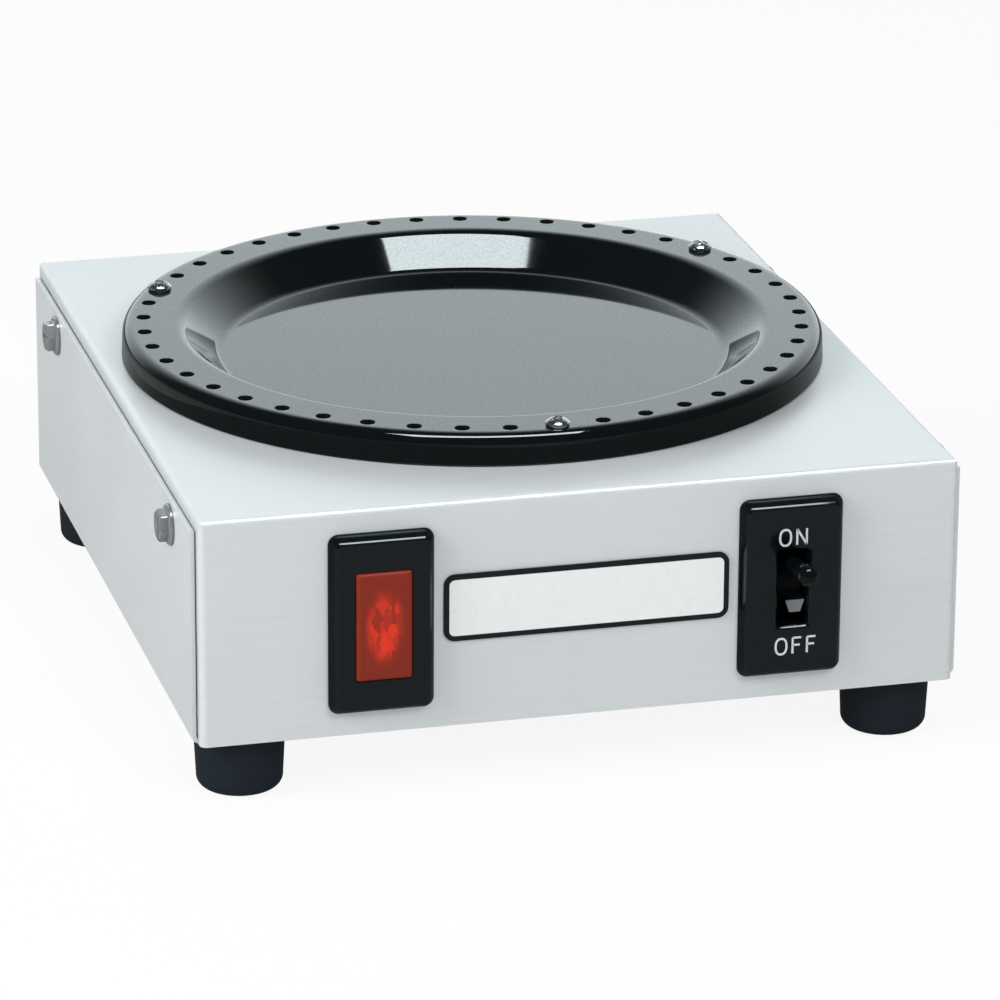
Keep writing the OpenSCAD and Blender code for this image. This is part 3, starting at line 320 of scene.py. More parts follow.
class Recess(Enum):
    """What a screwdriver finds in a screw's head: half sizes as shares of the head's radius.

    A slot has the half width of its floor and that of its mouth, a cross the half length and half
    width of an arm.
    """

    SLOT = (0.13, 0.19)
    CROSS = (0.58, 0.15)

    def depth(self, x: np.ndarray, y: np.ndarray, size: float) -> np.ndarray:
        """Depth of the recess at points of a head, as a share of its full depth.

        Args:
            x: places across the head.
            y: places along the head.
            size: radius of the head.

        Returns:
            1 inside the recess, 0 outside and a short slope between.
        """
        first, second = (share * size for share in self.value)
        if self is Recess.SLOT:
            return 1 - smoothstep(first, second, np.abs(x))
        upright = np.maximum(np.abs(x) / first, np.abs(y) / second)
        level = np.maximum(np.abs(y) / first, np.abs(x) / second)
        return 1 - smoothstep(*RECESS_SLOPE, np.minimum(upright, level))


class Grain(Enum):
    """How a finish's grain is stretched along x, y and z."""

    EVEN = (1.0, 1.0, 1.0)
    BRUSHED = (0.02, 1.0, 1.0)


@dataclass(frozen=True)
class Wiring:
    """A node tree at work: each input takes a value, or a link from another node's output."""

    tree: bpy.types.NodeTree

    def feed(self, node: bpy.types.Node, inputs: Mapping[str | int, Value]) -> None:
        """Feeds inputs of a node.

        Args:
            node: the node.
            inputs: a value or an output for each input, by its name or number.
        """
        for key, value in inputs.items():
            if isinstance(value, bpy.types.NodeSocket):
                self.tree.links.new(value, node.inputs[key])
            else:
                node.inputs[key].default_value = value

    def add(self, kind: str, inputs: Mapping[str | int, Value] | None = None,
            **options: object) -> bpy.types.NodeOutputs:
        """Adds a node.

        Args:
            kind: its type, without the word ShaderNode.
            inputs: what its inputs take.
            options: its settings, such as the operation.

        Returns:
            The node's outputs.
        """
        node = self.tree.nodes.new("ShaderNode" + kind)
        for name, value in options.items():
            setattr(node, name, value)
        self.feed(node, inputs or {})
        return node.outputs

    def math(self, operation: str, *values: Value) -> bpy.types.NodeSocket:
        """Result of a maths node."""
        return self.add("Math", dict(enumerate(values)), operation=operation)[0]

    def vector(self, operation: str, result: str, *values: Value) -> bpy.types.NodeSocket:
        """Result of a vector maths node, from its output Vector or Value."""
        return self.add("VectorMath", dict(enumerate(values)), operation=operation)[result]

    def ramp(self, value: Value, span: Sequence[Value], to: Sequence[Value],
             smooth: bool = False) -> bpy.types.NodeSocket:
        """Carries a value from one span to another and stops at its ends.

        Args:
            value: what is carried.
            span: the span that it comes from.
            to: the span that it goes to.
            smooth: rises by smoothstep, not straight.

        Returns:
            The carried value.
        """
        ends = dict(zip(("From Min", "From Max", "To Min", "To Max"), (*span, *to)))
        shape = "SMOOTHSTEP" if smooth else "LINEAR"
        return self.add("MapRange", {"Value": value, **ends}, interpolation_type=shape)["Result"]

    def mix(self, factor: Value, low: Value, high: Value, **options: str) -> bpy.types.NodeSocket:
        """Mixes two values by a factor."""
        return self.add("Mix", {"Factor": factor, "A": low, "B": high}, **options)["Result"]

    def tint(self, factor: Value, low: Colour | bpy.types.NodeSocket, high: Colour,
             blend: str = "MIX") -> bpy.types.NodeSocket:
        """Mixes or multiplies two colours by a factor.

        Args:
            factor: share of the second colour.
            low: the first colour, or an output that gives it.
            high: the second colour.
            blend: MIX or MULTIPLY.

        Returns:
            The mixed colour.
        """
        first = low if isinstance(low, bpy.types.NodeSocket) else (*low, 1.0)
        return self.mix(factor, first, (*high, 1.0), data_type="RGBA", blend_type=blend)

    def shaders(self, factor: Value, first: Value, second: Value) -> bpy.types.NodeSocket:
        """Mixes two shaders by a factor."""
        return self.add("MixShader", dict(enumerate((factor, first, second))))[0]


def new_material(name: str) -> tuple[bpy.types.Material, Wiring, bpy.types.Node]:
    """Starts a material.

    Args:
        name: the material's name.

    Returns:
        The material, its wiring and its Principled shader.
    """
    made = bpy.data.materials.new(name)
    made.use_nodes = True
    return made, Wiring(made.node_tree), made.node_tree.nodes["Principled BSDF"]


class ShaderGroups:
    """Node groups that several finishes share, each built once."""

    FINE_DETAIL = 3.0
    BROAD_DETAIL = 4.0
    CORE_SPAN = (0.45, 0.80)

    def __init__(self) -> None:
        """Builds the groups."""
        self.grain = self._grain()
        self.glow = self._glow()

    @staticmethod
    def _new(name: str, inputs: Mapping[str, str], outputs: Sequence[str]) -> tuple:
        """Starts a group with its sockets.

        Args:
            name: the group's name.
            inputs: names of its inputs, with Vector or Float as their kinds.
            outputs: names of its outputs, which are all values.

        Returns:
            The group's wiring, its given values and its output node.
        """
        tree = bpy.data.node_groups.new(name, "ShaderNodeTree")
        for label, kind in inputs.items():
            tree.interface.new_socket(label, in_out="INPUT", socket_type="NodeSocket" + kind)
        for label in outputs:
            tree.interface.new_socket(label, in_out="OUTPUT", socket_type="NodeSocketFloat")
        given, out = tree.nodes.new("NodeGroupInput"), tree.nodes.new("NodeGroupOutput")
        return Wiring(tree), given.outputs, out

    def _grain(self) -> bpy.types.NodeTree:
        """Fine stretched noise and broad cloudy noise over object coordinates.

        Returns:
            The group, with outputs Fine and Broad.
        """
        net, given, out = self._new(
            "surface_grain",
            {"Vector": "Vector", "Stretch": "Vector", "Scale": "Float", "Cloud": "Float"},
            ("Fine", "Broad"))
        place = given["Vector"]
        drawn = net.vector("MULTIPLY", "Vector", place, given["Stretch"])
        fine = {"Vector": drawn, "Scale": given["Scale"], "Detail": self.FINE_DETAIL}
        broad = {"Vector": place, "Scale": given["Cloud"], "Detail": self.BROAD_DETAIL}
        net.feed(out, {"Fine": net.add("TexNoise", fine)["Fac"],
                       "Broad": net.add("TexNoise", broad)["Fac"]})
        return net.tree

    def _glow(self) -> bpy.types.NodeTree:
        """Facets of a moulded lens, and a core that fades out over an oval about the middle.

        Returns:
            The group, with outputs Core and Facets.
        """
        net, given, out = self._new("lens_facets", {"Vector": "Vector", "Facet": "Float"},
                                    ("Core", "Facets"))
        place = given["Vector"]
        oval = net.vector("LENGTH", "Value", place)
        cells = net.add("TexVoronoi", {"Vector": place, "Scale": given["Facet"]},
                        feature="F1", distance="MANHATTAN")
        net.feed(out, {"Core": net.ramp(oval, self.CORE_SPAN, (1.0, 0.0), smooth=True),
                       "Facets": net.add("SeparateColor", {"Color": cells["Color"]})["Red"]})
        return net.tree


# The span of the noise that a finish uses, an even mix, and the refractive index of all finishes
GRAIN_SPAN = (0.3, 0.7)
HALF = 0.5
IOR = 1.5


@dataclass(frozen=True)
class Finish:
    """A surface finish: two tones, the gloss between them and the grain that parts them.

    The fleck is how far the grain thins the coat, and mirrored is the share of the tone that other
    glossy pieces show: a painted dark reflection, as the piece looks darker in mirrors than it is.
    """

    slot: str
    tone: Colour
    low_tone: Colour
    rough: Pair
    metallic: float = 0.0
    specular: float = 0.5
    coat: float = 0.0
    coat_rough: float = 0.03
    grain: Grain = Grain.EVEN
    scale: float = 900.0
    cloud: float = 60.0
    bump: float = 0.08
    depth: float = 0.00003
    fleck: float = 0.0
    mirrored: float = 1.0

    def material(self, groups: ShaderGroups) -> bpy.types.Material:
        """Builds the material: the grain mixes the tones, sets the gloss and lifts the normal.

        Args:
            groups: the shared node groups.

        Returns:
            The finished material.
        """
        made, net, shader = new_material(self.slot)
        place = net.add("TexCoord")["Object"]
        grain = net.add("Group", {"Vector": place, "Stretch": self.grain.value,
                                  "Scale": self.scale, "Cloud": self.cloud},
                        node_tree=groups.grain)
        fine, broad = grain["Fine"], grain["Broad"]
        colour = net.tint(net.mix(HALF, fine, broad), self.low_tone, self.tone)
        # Painted dark reflection: glossy rays see the tone dimmed to the mirrored share.
        if self.mirrored < 1.0:
            glossy = net.add("LightPath")["Is Glossy Ray"]
            colour = net.tint(glossy, colour, (self.mirrored,) * 3, "MULTIPLY")
        coat: Value = self.coat
        if self.fleck:
            coat = net.ramp(fine, GRAIN_SPAN, (self.coat - self.fleck, self.coat))
        lifted = net.add("Bump", {"Strength": self.bump, "Distance": self.depth, "Height": fine})
        net.feed(shader, {
            "Base Color": colour, "Metallic": self.metallic, "IOR": IOR,
            "Specular IOR Level": self.specular, "Coat Weight": coat,
            "Coat Roughness": self.coat_rough, "Normal": lifted["Normal"],
            "Roughness": net.ramp(broad, GRAIN_SPAN, self.rough)})
        return made


@dataclass(frozen=True)
class LensFinish:
    """Red moulded lens with facets behind its face and the lamp's glow in the middle."""

    slot: str = "lens_red"
    dark: Colour = (0.185, 0.022, 0.012)
    bright: Colour = (0.60, 0.034, 0.016)
    glow: float = 0.14
    rough: float = 0.25
    specular: float = 0.15
    facet: float = 3.8
    facet_light: float = 0.85
    core_light: float = 0.15
    centre: Point = (LAMP_X * MM, FRONT_Y * MM, CONTROL_Z * MM)
    half_size: Point = (0.0062, 0.02, 0.0123)

    def material(self, groups: ShaderGroups) -> bpy.types.Material:
        """Builds the lens from the facet group, in coordinates that are 1 at the lens's edge.

        Args:
            groups: the shared node groups.

        Returns:
            The finished material.
        """
        made, net, shader = new_material(self.slot)
        local = net.add("Mapping", {"Vector": net.add("TexCoord")["Object"],
                                    "Location": self.centre, "Scale": self.half_size},
                        vector_type="TEXTURE")
        lens = net.add("Group", {"Vector": local["Vector"], "Facet": self.facet},
                       node_tree=groups.glow)
        facets = net.math("MULTIPLY", lens["Core"], lens["Facets"])
        core = net.math("MULTIPLY", lens["Core"], self.core_light)
        lit = net.math("MULTIPLY_ADD", facets, self.facet_light, core)
        # The lamp's glow through the lens and its facets is painted into the base colour as well as
        # given off as emission.
        colour = net.tint(lit, self.dark, self.bright)
        net.feed(shader, {
            "Base Color": colour, "Emission Color": colour, "Emission Strength": self.glow,
            "Roughness": self.rough, "Specular IOR Level": self.specular})
        return made


FINISHES: tuple[Finish | LensFinish, ...] = (
    # The housing's steel is mirrored at 0.15 of its tone, a painted dark reflection on the enamel.
    Finish("housing_steel", (0.81, 0.85, 0.865), (0.68, 0.72, 0.735), (0.30, 0.36), metallic=0.30,
           grain=Grain.BRUSHED, cloud=25.0, bump=0.008, depth=0.00001, mirrored=0.15),
    Finish("bright_steel", (0.76, 0.77, 0.79), (0.62, 0.63, 0.65), (0.14, 0.26), metallic=1.0,
           bump=0.12),
    Finish("plated_steel", (0.56, 0.58, 0.60), (0.42, 0.44, 0.46), (0.16, 0.26), metallic=0.7,
           bump=0.05),
    Finish("zinc_steel", (0.62, 0.62, 0.60), (0.46, 0.46, 0.44), (0.30, 0.45), metallic=1.0),
    Finish("foot_rubber", (0.013, 0.019, 0.027), (0.009, 0.014, 0.020), (0.50, 0.62), specular=0.2,
           scale=1800.0, bump=0.3),
    Finish("plate_enamel", (0.001, 0.002, 0.003), (0.001, 0.002, 0.002), (0.04, 0.07), coat=1.0,
           coat_rough=0.04, scale=1800.0, cloud=90.0, bump=0.02, depth=0.000006, fleck=0.4),
    Finish("mica", (0.52, 0.44, 0.32), (0.36, 0.28, 0.18), (0.35, 0.55), scale=700.0),
    Finish("fibre", (0.80, 0.78, 0.70), (0.64, 0.61, 0.54), (0.85, 0.95), scale=1600.0, bump=0.5,
           depth=0.0002),
    Finish("ceramic_bush", (0.85, 0.82, 0.76), (0.76, 0.72, 0.65), (0.45, 0.60)),
    Finish("brass_tab", (0.78, 0.60, 0.25), (0.62, 0.45, 0.17), (0.22, 0.36), metallic=1.0),
    Finish("copper_rocker", (0.74, 0.44, 0.26), (0.56, 0.30, 0.17), (0.22, 0.36), metallic=1.0),
    Finish("bezel_plastic", (0.002, 0.005, 0.007), (0.001, 0.003, 0.005), (0.10, 0.16), coat=0.4,
           scale=2600.0, bump=0.06, depth=0.00002),
    Finish("lever_plastic", (0.003, 0.004, 0.005), (0.002, 0.003, 0.003), (0.10, 0.16),
           specular=0.4),
    Finish("drum_plastic", (0.003, 0.004, 0.005), (0.002, 0.003, 0.003), (0.50, 0.60),
           specular=0.2),
    # The toggle rest's face, painted light grey as a highlight.
    Finish("pad_painted_highlight", (0.18, 0.19, 0.20), (0.15, 0.16, 0.17), (0.40, 0.50)),
    Finish("case_plastic", (0.030, 0.030, 0.032), (0.020, 0.020, 0.022), (0.45, 0.60),
           specular=0.3),
    LensFinish(),
    Finish("reflector_white", (0.85, 0.85, 0.82), (0.78, 0.78, 0.75), (0.35, 0.50)),
    Finish("lamp_glass", (0.93, 0.80, 0.72), (0.86, 0.70, 0.60), (0.05, 0.12)),
    Finish("resistor_tan", (0.62, 0.50, 0.35), (0.50, 0.39, 0.26), (0.35, 0.50)),
    Finish("blank_face", (0.75, 0.77, 0.77), (0.742, 0.762, 0.762), (0.27, 0.28), cloud=250.0,
           bump=0.04),
    Finish("gland_plastic", (0.020, 0.020, 0.021), (0.012, 0.012, 0.013), (0.45, 0.60),
           specular=0.35),
    Finish("block_plastic", (0.80, 0.77, 0.68), (0.72, 0.68, 0.58), (0.40, 0.55)),
    Finish("ground_green", (0.10, 0.36, 0.16), (0.06, 0.26, 0.10), (0.30, 0.42), metallic=0.6),
    Finish("sleeve_vinyl", (0.42, 0.05, 0.05), (0.33, 0.03, 0.03), (0.40, 0.55)),
    Finish("lead_black", (0.022, 0.022, 0.023), (0.014, 0.014, 0.015), (0.45, 0.60)),
    Finish("lead_red", (0.50, 0.04, 0.04), (0.40, 0.03, 0.03), (0.45, 0.60)),
    Finish("lead_white", (0.80, 0.80, 0.78), (0.72, 0.72, 0.70), (0.45, 0.60)),
    Finish("lead_green", (0.06, 0.32, 0.11), (0.04, 0.24, 0.08), (0.45, 0.60)),
    Finish("border_ink", (0.012, 0.013, 0.017), (0.008, 0.009, 0.011), (0.30, 0.40), specular=0.3,
           bump=0.05),
    Finish("word_ink", (0.62, 0.65, 0.68), (0.54, 0.57, 0.60), (0.40, 0.50)),
)

# Which nodes of the model keep their CAD mesh and take each finish
KEPT_NODES: dict[str, tuple[str, ...]] = {
    "bright_steel": ("foot_screws", "lever_pin"),
    "zinc_steel": ("side_nuts", "foot_nuts", "foot_washers", "plate_nuts", "plate_spacers",
                   "clamp_stud", "clamp_washer", "clamp_nut", "pressure_plate", "block_screws",
                   "terminal_screws", "plunger_spring", "ground_lug"),
    "mica": ("heater_element",),
    "fibre": ("insulation_pad",),
    "ceramic_bush": ("heater_bushes",),
    "brass_tab": ("heater_tabs", "common_terminal", "load_terminal", "lamp_terminals",
                  "terminal_strips", "contact_plunger"),
    "copper_rocker": ("contact_rocker",),
    "case_plastic": ("switch_case", "lamp_case"),
    "reflector_white": ("lamp_reflector",),
    "lamp_glass": ("neon_lamp",),
    "resistor_tan": ("lamp_resistor",),
    "block_plastic": ("terminal_block",),
    "ground_green": ("ground_screw",),
    "sleeve_vinyl": ("tab_sleeves",),
    "lead_black": ("line_lead",),
    "lead_red": ("load_lead", "lamp_load_lead"),
    "lead_white": ("neutral_lead", "lamp_neutral_lead"),
    "lead_green": ("ground_lead",),
}


class Paint:
    """The finished materials by name, and the ways that pieces take them."""

    def __init__(self) -> None:
        """Builds every finish once."""
        groups = ShaderGroups()
        self.materials = {f.slot: f.material(groups) for f in FINISHES}

    def coat(self, piece: bpy.types.Object, finish: str) -> None:
        """Makes a finish the only material of a piece."""
        piece.data.materials.clear()
        piece.data.materials.append(self.materials[finish])

    def dress(self, piece: bpy.types.Object, finish: str, slot: str, body: str,
              *nodes: str) -> None:
        """Gives a new piece its finish and body, and hides the CAD nodes that it stands for.

        Args:
            piece: the new object.
            finish: name of its finish.
            slot: the record's material slot; not used.
            body: the body that it moves with.
            nodes: CAD nodes that it replaces.
        """
        self.coat(piece, finish)
        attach(piece, body)
        if nodes:
            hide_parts(*nodes)
        log.info("piece %s on %s, %d points", piece.name, body, len(piece.data.vertices))

    def dress_kept(self) -> None:
        """Gives each node that keeps its CAD mesh its finish."""
        for finish, nodes in KEPT_NODES.items():
            for node in nodes:
                self.coat(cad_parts[node], finish)
                log.info("node %s in %s", node, finish)


@dataclass
class Housing:
    """The folded cover and the base pan: merged copies of their nodes, shaded along the bends."""

    weld: float = 0.000004
    sharp: float = 28.0

    def sheet(self, node: str, name: str) -> bpy.types.Object:
        """Copies a node, merges its loose triangles and weights its normals by the faces' sizes.

        Args:
            node: the CAD node.
            name: the copy's name.

        Returns:
            The copy.
        """
        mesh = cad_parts[node].data.copy()
        mesh.name = name
        welded(mesh, self.weld)
        if "custom_normal" in mesh.attributes:
            mesh.attributes.remove(mesh.attributes["custom_normal"])
        shaded(mesh, self.sharp)
        made = linked(name, mesh)
        weighted = made.modifiers.new("weighted", "WEIGHTED_NORMAL")
        weighted.keep_sharp = True
        weighted.mode = "FACE_AREA"
        return made

    def build(self, paint: Paint) -> None:
        """Makes and dresses both sheets."""
        for node, name in (("top_cover", "cover_sheet"), ("base_pan", "pan_sheet")):
            paint.dress(self.sheet(node, name), "housing_steel", "housing_steel", HOUSING, node)


@dataclass
class WarmerPlate:
    """The dished enamel plate with its ring of holes, and the three screws that hold it.

    Marks are the shares of a straight stretch at which a row of points lies.
    """

    rim_z: float = 72.7
    plate_r: float = 79.2
    plate_t: float = 1.5
    rim_r: float = 67.25
    dish: float = 7.6
    fold_r: float = 3.6
    fillet_r: float = 3.0
    edge_r: float = 2.6
    flare: float = 2.0
    wall: float = 42.0
    skirt_gap: float = 0.2
    middle_r: float = 2.0
    floor_parts: int = 12
    bend_parts: int = 8
    edge_parts: int = 12
    flat_by_bend: float = 0.3
    wall_marks: Pair = (0.04, 0.96)
    skirt_marks: Pair = (0.15, 0.9)
    weld: float = 0.00002

    ring_r: float = 74.3
    hole_r: float = 1.65
    places: int = 45
    side_parts: int = 6
    end_parts: int = 8
    patch_in: float = 70.6
    patch_out: float = 76.6
    patch_marks: tuple[float, ...] = (0.0, 0.04, 0.08, 0.14, 0.22, 0.34, 0.5, 0.7, 1.0)
    lip: float = 0.05
    lip_w: float = 0.25

    screw_every: int = 15
    screw_turns: Point = (0.35, 1.1, 0.8)
    head_r: float = 2.7
    head_h: float = 1.9
    dome_r: float = 3.672
    shank_r: float = 1.5
    reach: float = 12.1
    recess: float = 0.9
    crown_r: Pair = (0.02, 2.58)
    crown_rings: int = 40
    head_parts: int = 120
    seat_rows: Rows = ((-0.1, 0.0), (0.0, 0.1))
    shoulder_rows: Rows = ((0.0, -0.15), (-0.04, -0.04))

    @property
    def skirt_low(self) -> float:
        """Level of the skirt's lower edge."""
        return TOP_Z + self.skirt_gap

    @property
    def edge_c(self) -> float:
        """Radius where the flat rim ends: the skirt's run and the edge's run are taken off.

        Returns:
            The radius.
        """
        flare = math.radians(self.flare)
        skirt_h = self.rim_z - self.edge_r * (1 - math.sin(flare)) - self.skirt_low
        return self.plate_r - skirt_h * math.tan(flare) - self.edge_r * math.cos(flare)

    def edge_drop(self, radius: np.ndarray) -> np.ndarray:
        """Fall of the turned edge: R - sqrt(R^2 - d^2), with d the way past the flat rim."""
        past = np.clip(radius - self.edge_c, 0, None)
        return self.edge_r - np.sqrt(self.edge_r ** 2 - past ** 2)

    def bearing(self, place: np.ndarray) -> np.ndarray:
        """Angles of places on the ring, counted from the front: 2 pi place / places - pi / 2."""
        return TURN / self.places * place - QUARTER

    def inner_profile(self) -> np.ndarray:
        """Goes from the middle of the dish, up its wall and over the fold, to the ring of holes.

        Returns:
            Radii and heights.
        """
        wall, bends = math.radians(self.wall), self.fold_r + self.fillet_r
        drop = self.dish - bends * (1 - math.cos(wall))
        floor_r = self.rim_r - bends * math.sin(wall) - drop / math.tan(wall)
        floor_z = self.rim_z - self.dish
        flat = np.append(np.linspace(self.middle_r, floor_r, self.floor_parts, endpoint=False),
                         floor_r - self.flat_by_bend)
        fillet = arc((floor_r, floor_z + self.fillet_r), self.fillet_r, -90, self.wall - 90,
                     self.bend_parts)
        fold = arc((self.rim_r, self.rim_z - self.fold_r), self.fold_r, 90 + self.wall, 90,
                   self.bend_parts)
        rise = np.array(self.wall_marks)[:, None] * (fold[0] - fillet[-1])
        return path(np.column_stack([flat, np.full(len(flat), floor_z)]), fillet,
                    fillet[-1] + rise, fold, [self.rim_r + self.flat_by_bend, self.rim_z],
                    [self.patch_in, self.rim_z])

    def outer_profile(self) -> np.ndarray:
        """Goes from the ring of holes over the turned edge and down the flared skirt.

        Returns:
            Radii and heights.
        """
        start = math.degrees(math.acos((self.patch_out - self.edge_c) / self.edge_r))
        edge = arc((self.edge_c, self.rim_z - self.edge_r), self.edge_r, start, self.flare,
                   self.edge_parts)
        foot = np.array([self.plate_r, self.skirt_low])
        return path(edge, edge[-1] + np.array(self.skirt_marks)[:, None] * (foot - edge[-1]), foot)

    def revolved(self, profile: np.ndarray, cap: bool) -> Surface:
        """Turns a profile about the plate's axis, on the circle parts that the holes' sectors use.

        Args:
            profile: radii and heights.
            cap: closes the first ring in the middle.

        Returns:
            The open sheet.
        """
        angle = circle(self.places * self.side_parts) - QUARTER
        return loft(turned(profile, angle), caps=(cap, False))

    def border(self) -> np.ndarray:
        """Border of a hole's sector, unrolled: u along the ring and v outward from the hole.

        Returns:
            Points, anticlockwise from the inner corner at the start of the sector.
        """
        half = math.pi / self.places * self.ring_r
        low, high = self.patch_in - self.ring_r, self.patch_out - self.ring_r
        along = np.linspace(-half, half, self.side_parts + 1)
        across = np.linspace(low, high, self.end_parts + 1)
        return np.vstack([np.column_stack([along[:-1], np.full(self.side_parts, low)]),
                          np.column_stack([np.full(self.end_parts, half), across[:-1]]),
                          np.column_stack([along[:0:-1], np.full(self.side_parts, high)]),
                          np.column_stack([np.full(self.end_parts, -half), across[:0:-1]])])

    def holed_ring(self) -> Surface:
        """Flat ring with its holes: lines run from each hole's circle to its sector's border.

        A point is (1 - t) of the circle's point plus t of the border's point in the same direction.
        Its height falls with the turned edge and dips by lip (1 - s)^2 beside the hole, where s is
        its distance from the hole over the lip's width.

        Returns:
            The open sheet.
        """
        border = self.border()
        hole = self.hole_r * border / np.linalg.norm(border, axis=1, keepdims=True)
        share = np.array(self.patch_marks)[:, None, None]
        flat = hole * (1 - share) + border * share
        away = np.linalg.norm(flat, axis=-1) - self.hole_r
        dip = self.lip * np.clip(1 - away / self.lip_w, 0, 1) ** 2
        angle = self.bearing(np.arange(self.places)[:, None, None]) + flat[..., 0] / self.ring_r
        radius = self.ring_r + flat[..., 1]
        height = np.broadcast_to(self.rim_z - dip - self.edge_drop(radius), angle.shape)
        points = np.stack([radius * np.cos(angle), radius * np.sin(angle), height], -1)
        rows, cols = flat.shape[:2]
        starts = np.arange(self.places)[:, None, None] * rows * cols
        quads = grid_quads(rows, cols, False, True) + starts
        return Surface(points.reshape(-1, 3), quads.reshape(-1, 4), NO_TRIS)

    def enamel(self) -> bpy.types.Object:
        """Joins dish, holed ring and skirt into one upward sheet and gives it its thickness.

        Returns:
            The plate.
        """
        whole = joined([self.revolved(self.inner_profile(), True), self.holed_ring(),
                        self.revolved(self.outer_profile(), False)])
        made = whole.placed((0, PLATE_Y, 0)).to_object("enamel_plate", sharp=60.0)
        welded(made.data, self.weld, upward=True)
        thick = made.modifiers.new("thickness", "SOLIDIFY")
        thick.thickness = self.plate_t * MM
        thick.offset = -1.0
        thick.use_even_offset = True
        return made

    def screw(self) -> Surface:
        """Round head: z = h - d + sqrt(d^2 - r^2) less a cross recess, with d the dome's radius.

        Returns:
            The screw, head up, seated on z = 0.
        """
        angle = circle(self.head_parts)
        r = np.linspace(*self.crown_r, self.crown_rings)[::-1, None]
        x, y = r * np.cos(angle), r * np.sin(angle)
        crown = self.head_h - self.dome_r + np.sqrt(self.dome_r ** 2 - x * x - y * y)
        cross = self.recess * Recess.CROSS.depth(x, y, self.head_r)
        side = path([self.shank_r, -self.reach], [self.shank_r, 0.0],
                    beside((self.head_r, 0.0), self.seat_rows),
                    beside((self.head_r, crown[0, 0]), self.shoulder_rows))
        return loft(np.concatenate([turned(side, angle), np.stack([x, y, crown - cross], -1)]))

    def screws(self) -> bpy.types.Object:
        """Sets the screws at their places of the ring, each turned differently.

        Returns:
            The three screws as one piece.
        """
        one = self.screw()
        places = self.ring_r * around(self.bearing(np.arange(0, self.places, self.screw_every)))
        parts = [one.placed((x, PLATE_Y + y, self.rim_z), spun(turn))
                 for (x, y), turn in zip(places, self.screw_turns)]
        return joined(parts).to_object("plate_screw_heads", sharp=40.0)

    def build(self, paint: Paint) -> None:
        """Makes and dresses the plate and its screws."""
        paint.dress(self.enamel(), "plate_enamel", "plate_enamel", HOUSING, "warmer_plate")
        paint.dress(self.screws(), "bright_steel", "bright_steel", HOUSING, "plate_screws")


@dataclass
class SideScrews:
    """Four slotted hex screws with washer faces, through the side panels.

    A turn is an angle in radians and what each side adds to it or takes from it.
    """

    side_x: float = 85.0
    front_inset: float = 23.0
    back_inset: float = 30.0
    front_turn: Pair = (0.5, 0.2)
    back_turn: Pair = (1.3, -0.4)
    level: float = 57.0
    shank_r: float = 1.95
    reach: float = 6.0
    washer_r: float = 4.5
    washer_t: float = 0.9
    washer_rows: Rows = ((-0.1, 0.0), (0.0, 0.1), (0.0, 0.55), (-0.25, 0.85))
    flats: float = 6.4
    head: float = 2.1
    corner_share: float = 1.125
    hex_foot: Pair = (0.25, 0.2)
    hex_rows: Rows = ((1.0, -0.45), (0.985, -0.35))
    crest: Point = (0.95, 1.06, -0.05)
    face_share: float = 0.93
    face_dip: float = 0.25
    dip_span: Pair = (0.55, 0.8)
    slot: float = 0.7
    middle_r: float = 0.02
    face_rings: int = 34
    parts: int = 144

    def screw(self) -> Surface:
        """Rings from shank and washer to the hexagon: its radius is flats / 2 / cos(off a flat).

        Returns:
            The screw, head up, seated on z = 0.
        """
        angle, flat = circle(self.parts), self.flats / 2
        sixth = TURN / 6
        off = (angle + sixth / 2) % sixth - sixth / 2
        hexagon = np.minimum(flat / np.cos(off), flat * self.corner_share)
        high, face_r = self.washer_t + self.head, flat * self.face_share
        more, fillet = self.hex_foot
        shrink, limit, drop = self.crest
        rows = [(self.shank_r, -self.reach), (self.shank_r, 0.0),
                *beside((self.washer_r, 0.0), self.washer_rows),
                (hexagon + more, self.washer_t), (hexagon, self.washer_t + fillet),
                *((hexagon * share, high + fall) for share, fall in self.hex_rows),
                (np.minimum(hexagon * shrink, face_r * limit), high + drop)]
        radii = np.stack([np.broadcast_to(r, angle.shape) for r, _ in rows])
        stack = at_heights(radii[..., None] * around(angle),
                           np.array([z for _, z in rows])[:, None, None])
        r = np.linspace(face_r, self.middle_r, self.face_rings)[:, None]
        x, y = r * np.cos(angle), r * np.sin(angle)
        start, end = (share * face_r for share in self.dip_span)
        dish = high - self.face_dip * (1 - smoothstep(start, end, np.broadcast_to(r, x.shape)))
        top = np.stack([x, y, dish - self.slot * Recess.SLOT.depth(x, y, flat)], -1)
        return loft(np.concatenate([stack, top]))

    def build(self, paint: Paint) -> None:
        """Makes and dresses the four screws, each turned a little differently.

        Args:
            paint: the finishes.
        """
        one = self.screw()
        rows = ((FRONT_Y + self.front_inset, self.front_turn),
                (BACK_Y - self.back_inset, self.back_turn))
        parts = [one.placed((side * self.side_x, y, self.level), spun(turn + side * more) @ axes)
                 for side, axes in ((-1, ON_LEFT), (1, ON_RIGHT)) for y, (turn, more) in rows]
        made = joined(parts).to_object("side_hex_screws", sharp=30.0)
        paint.dress(made, "plated_steel", "bright_steel", HOUSING, "side_screws")


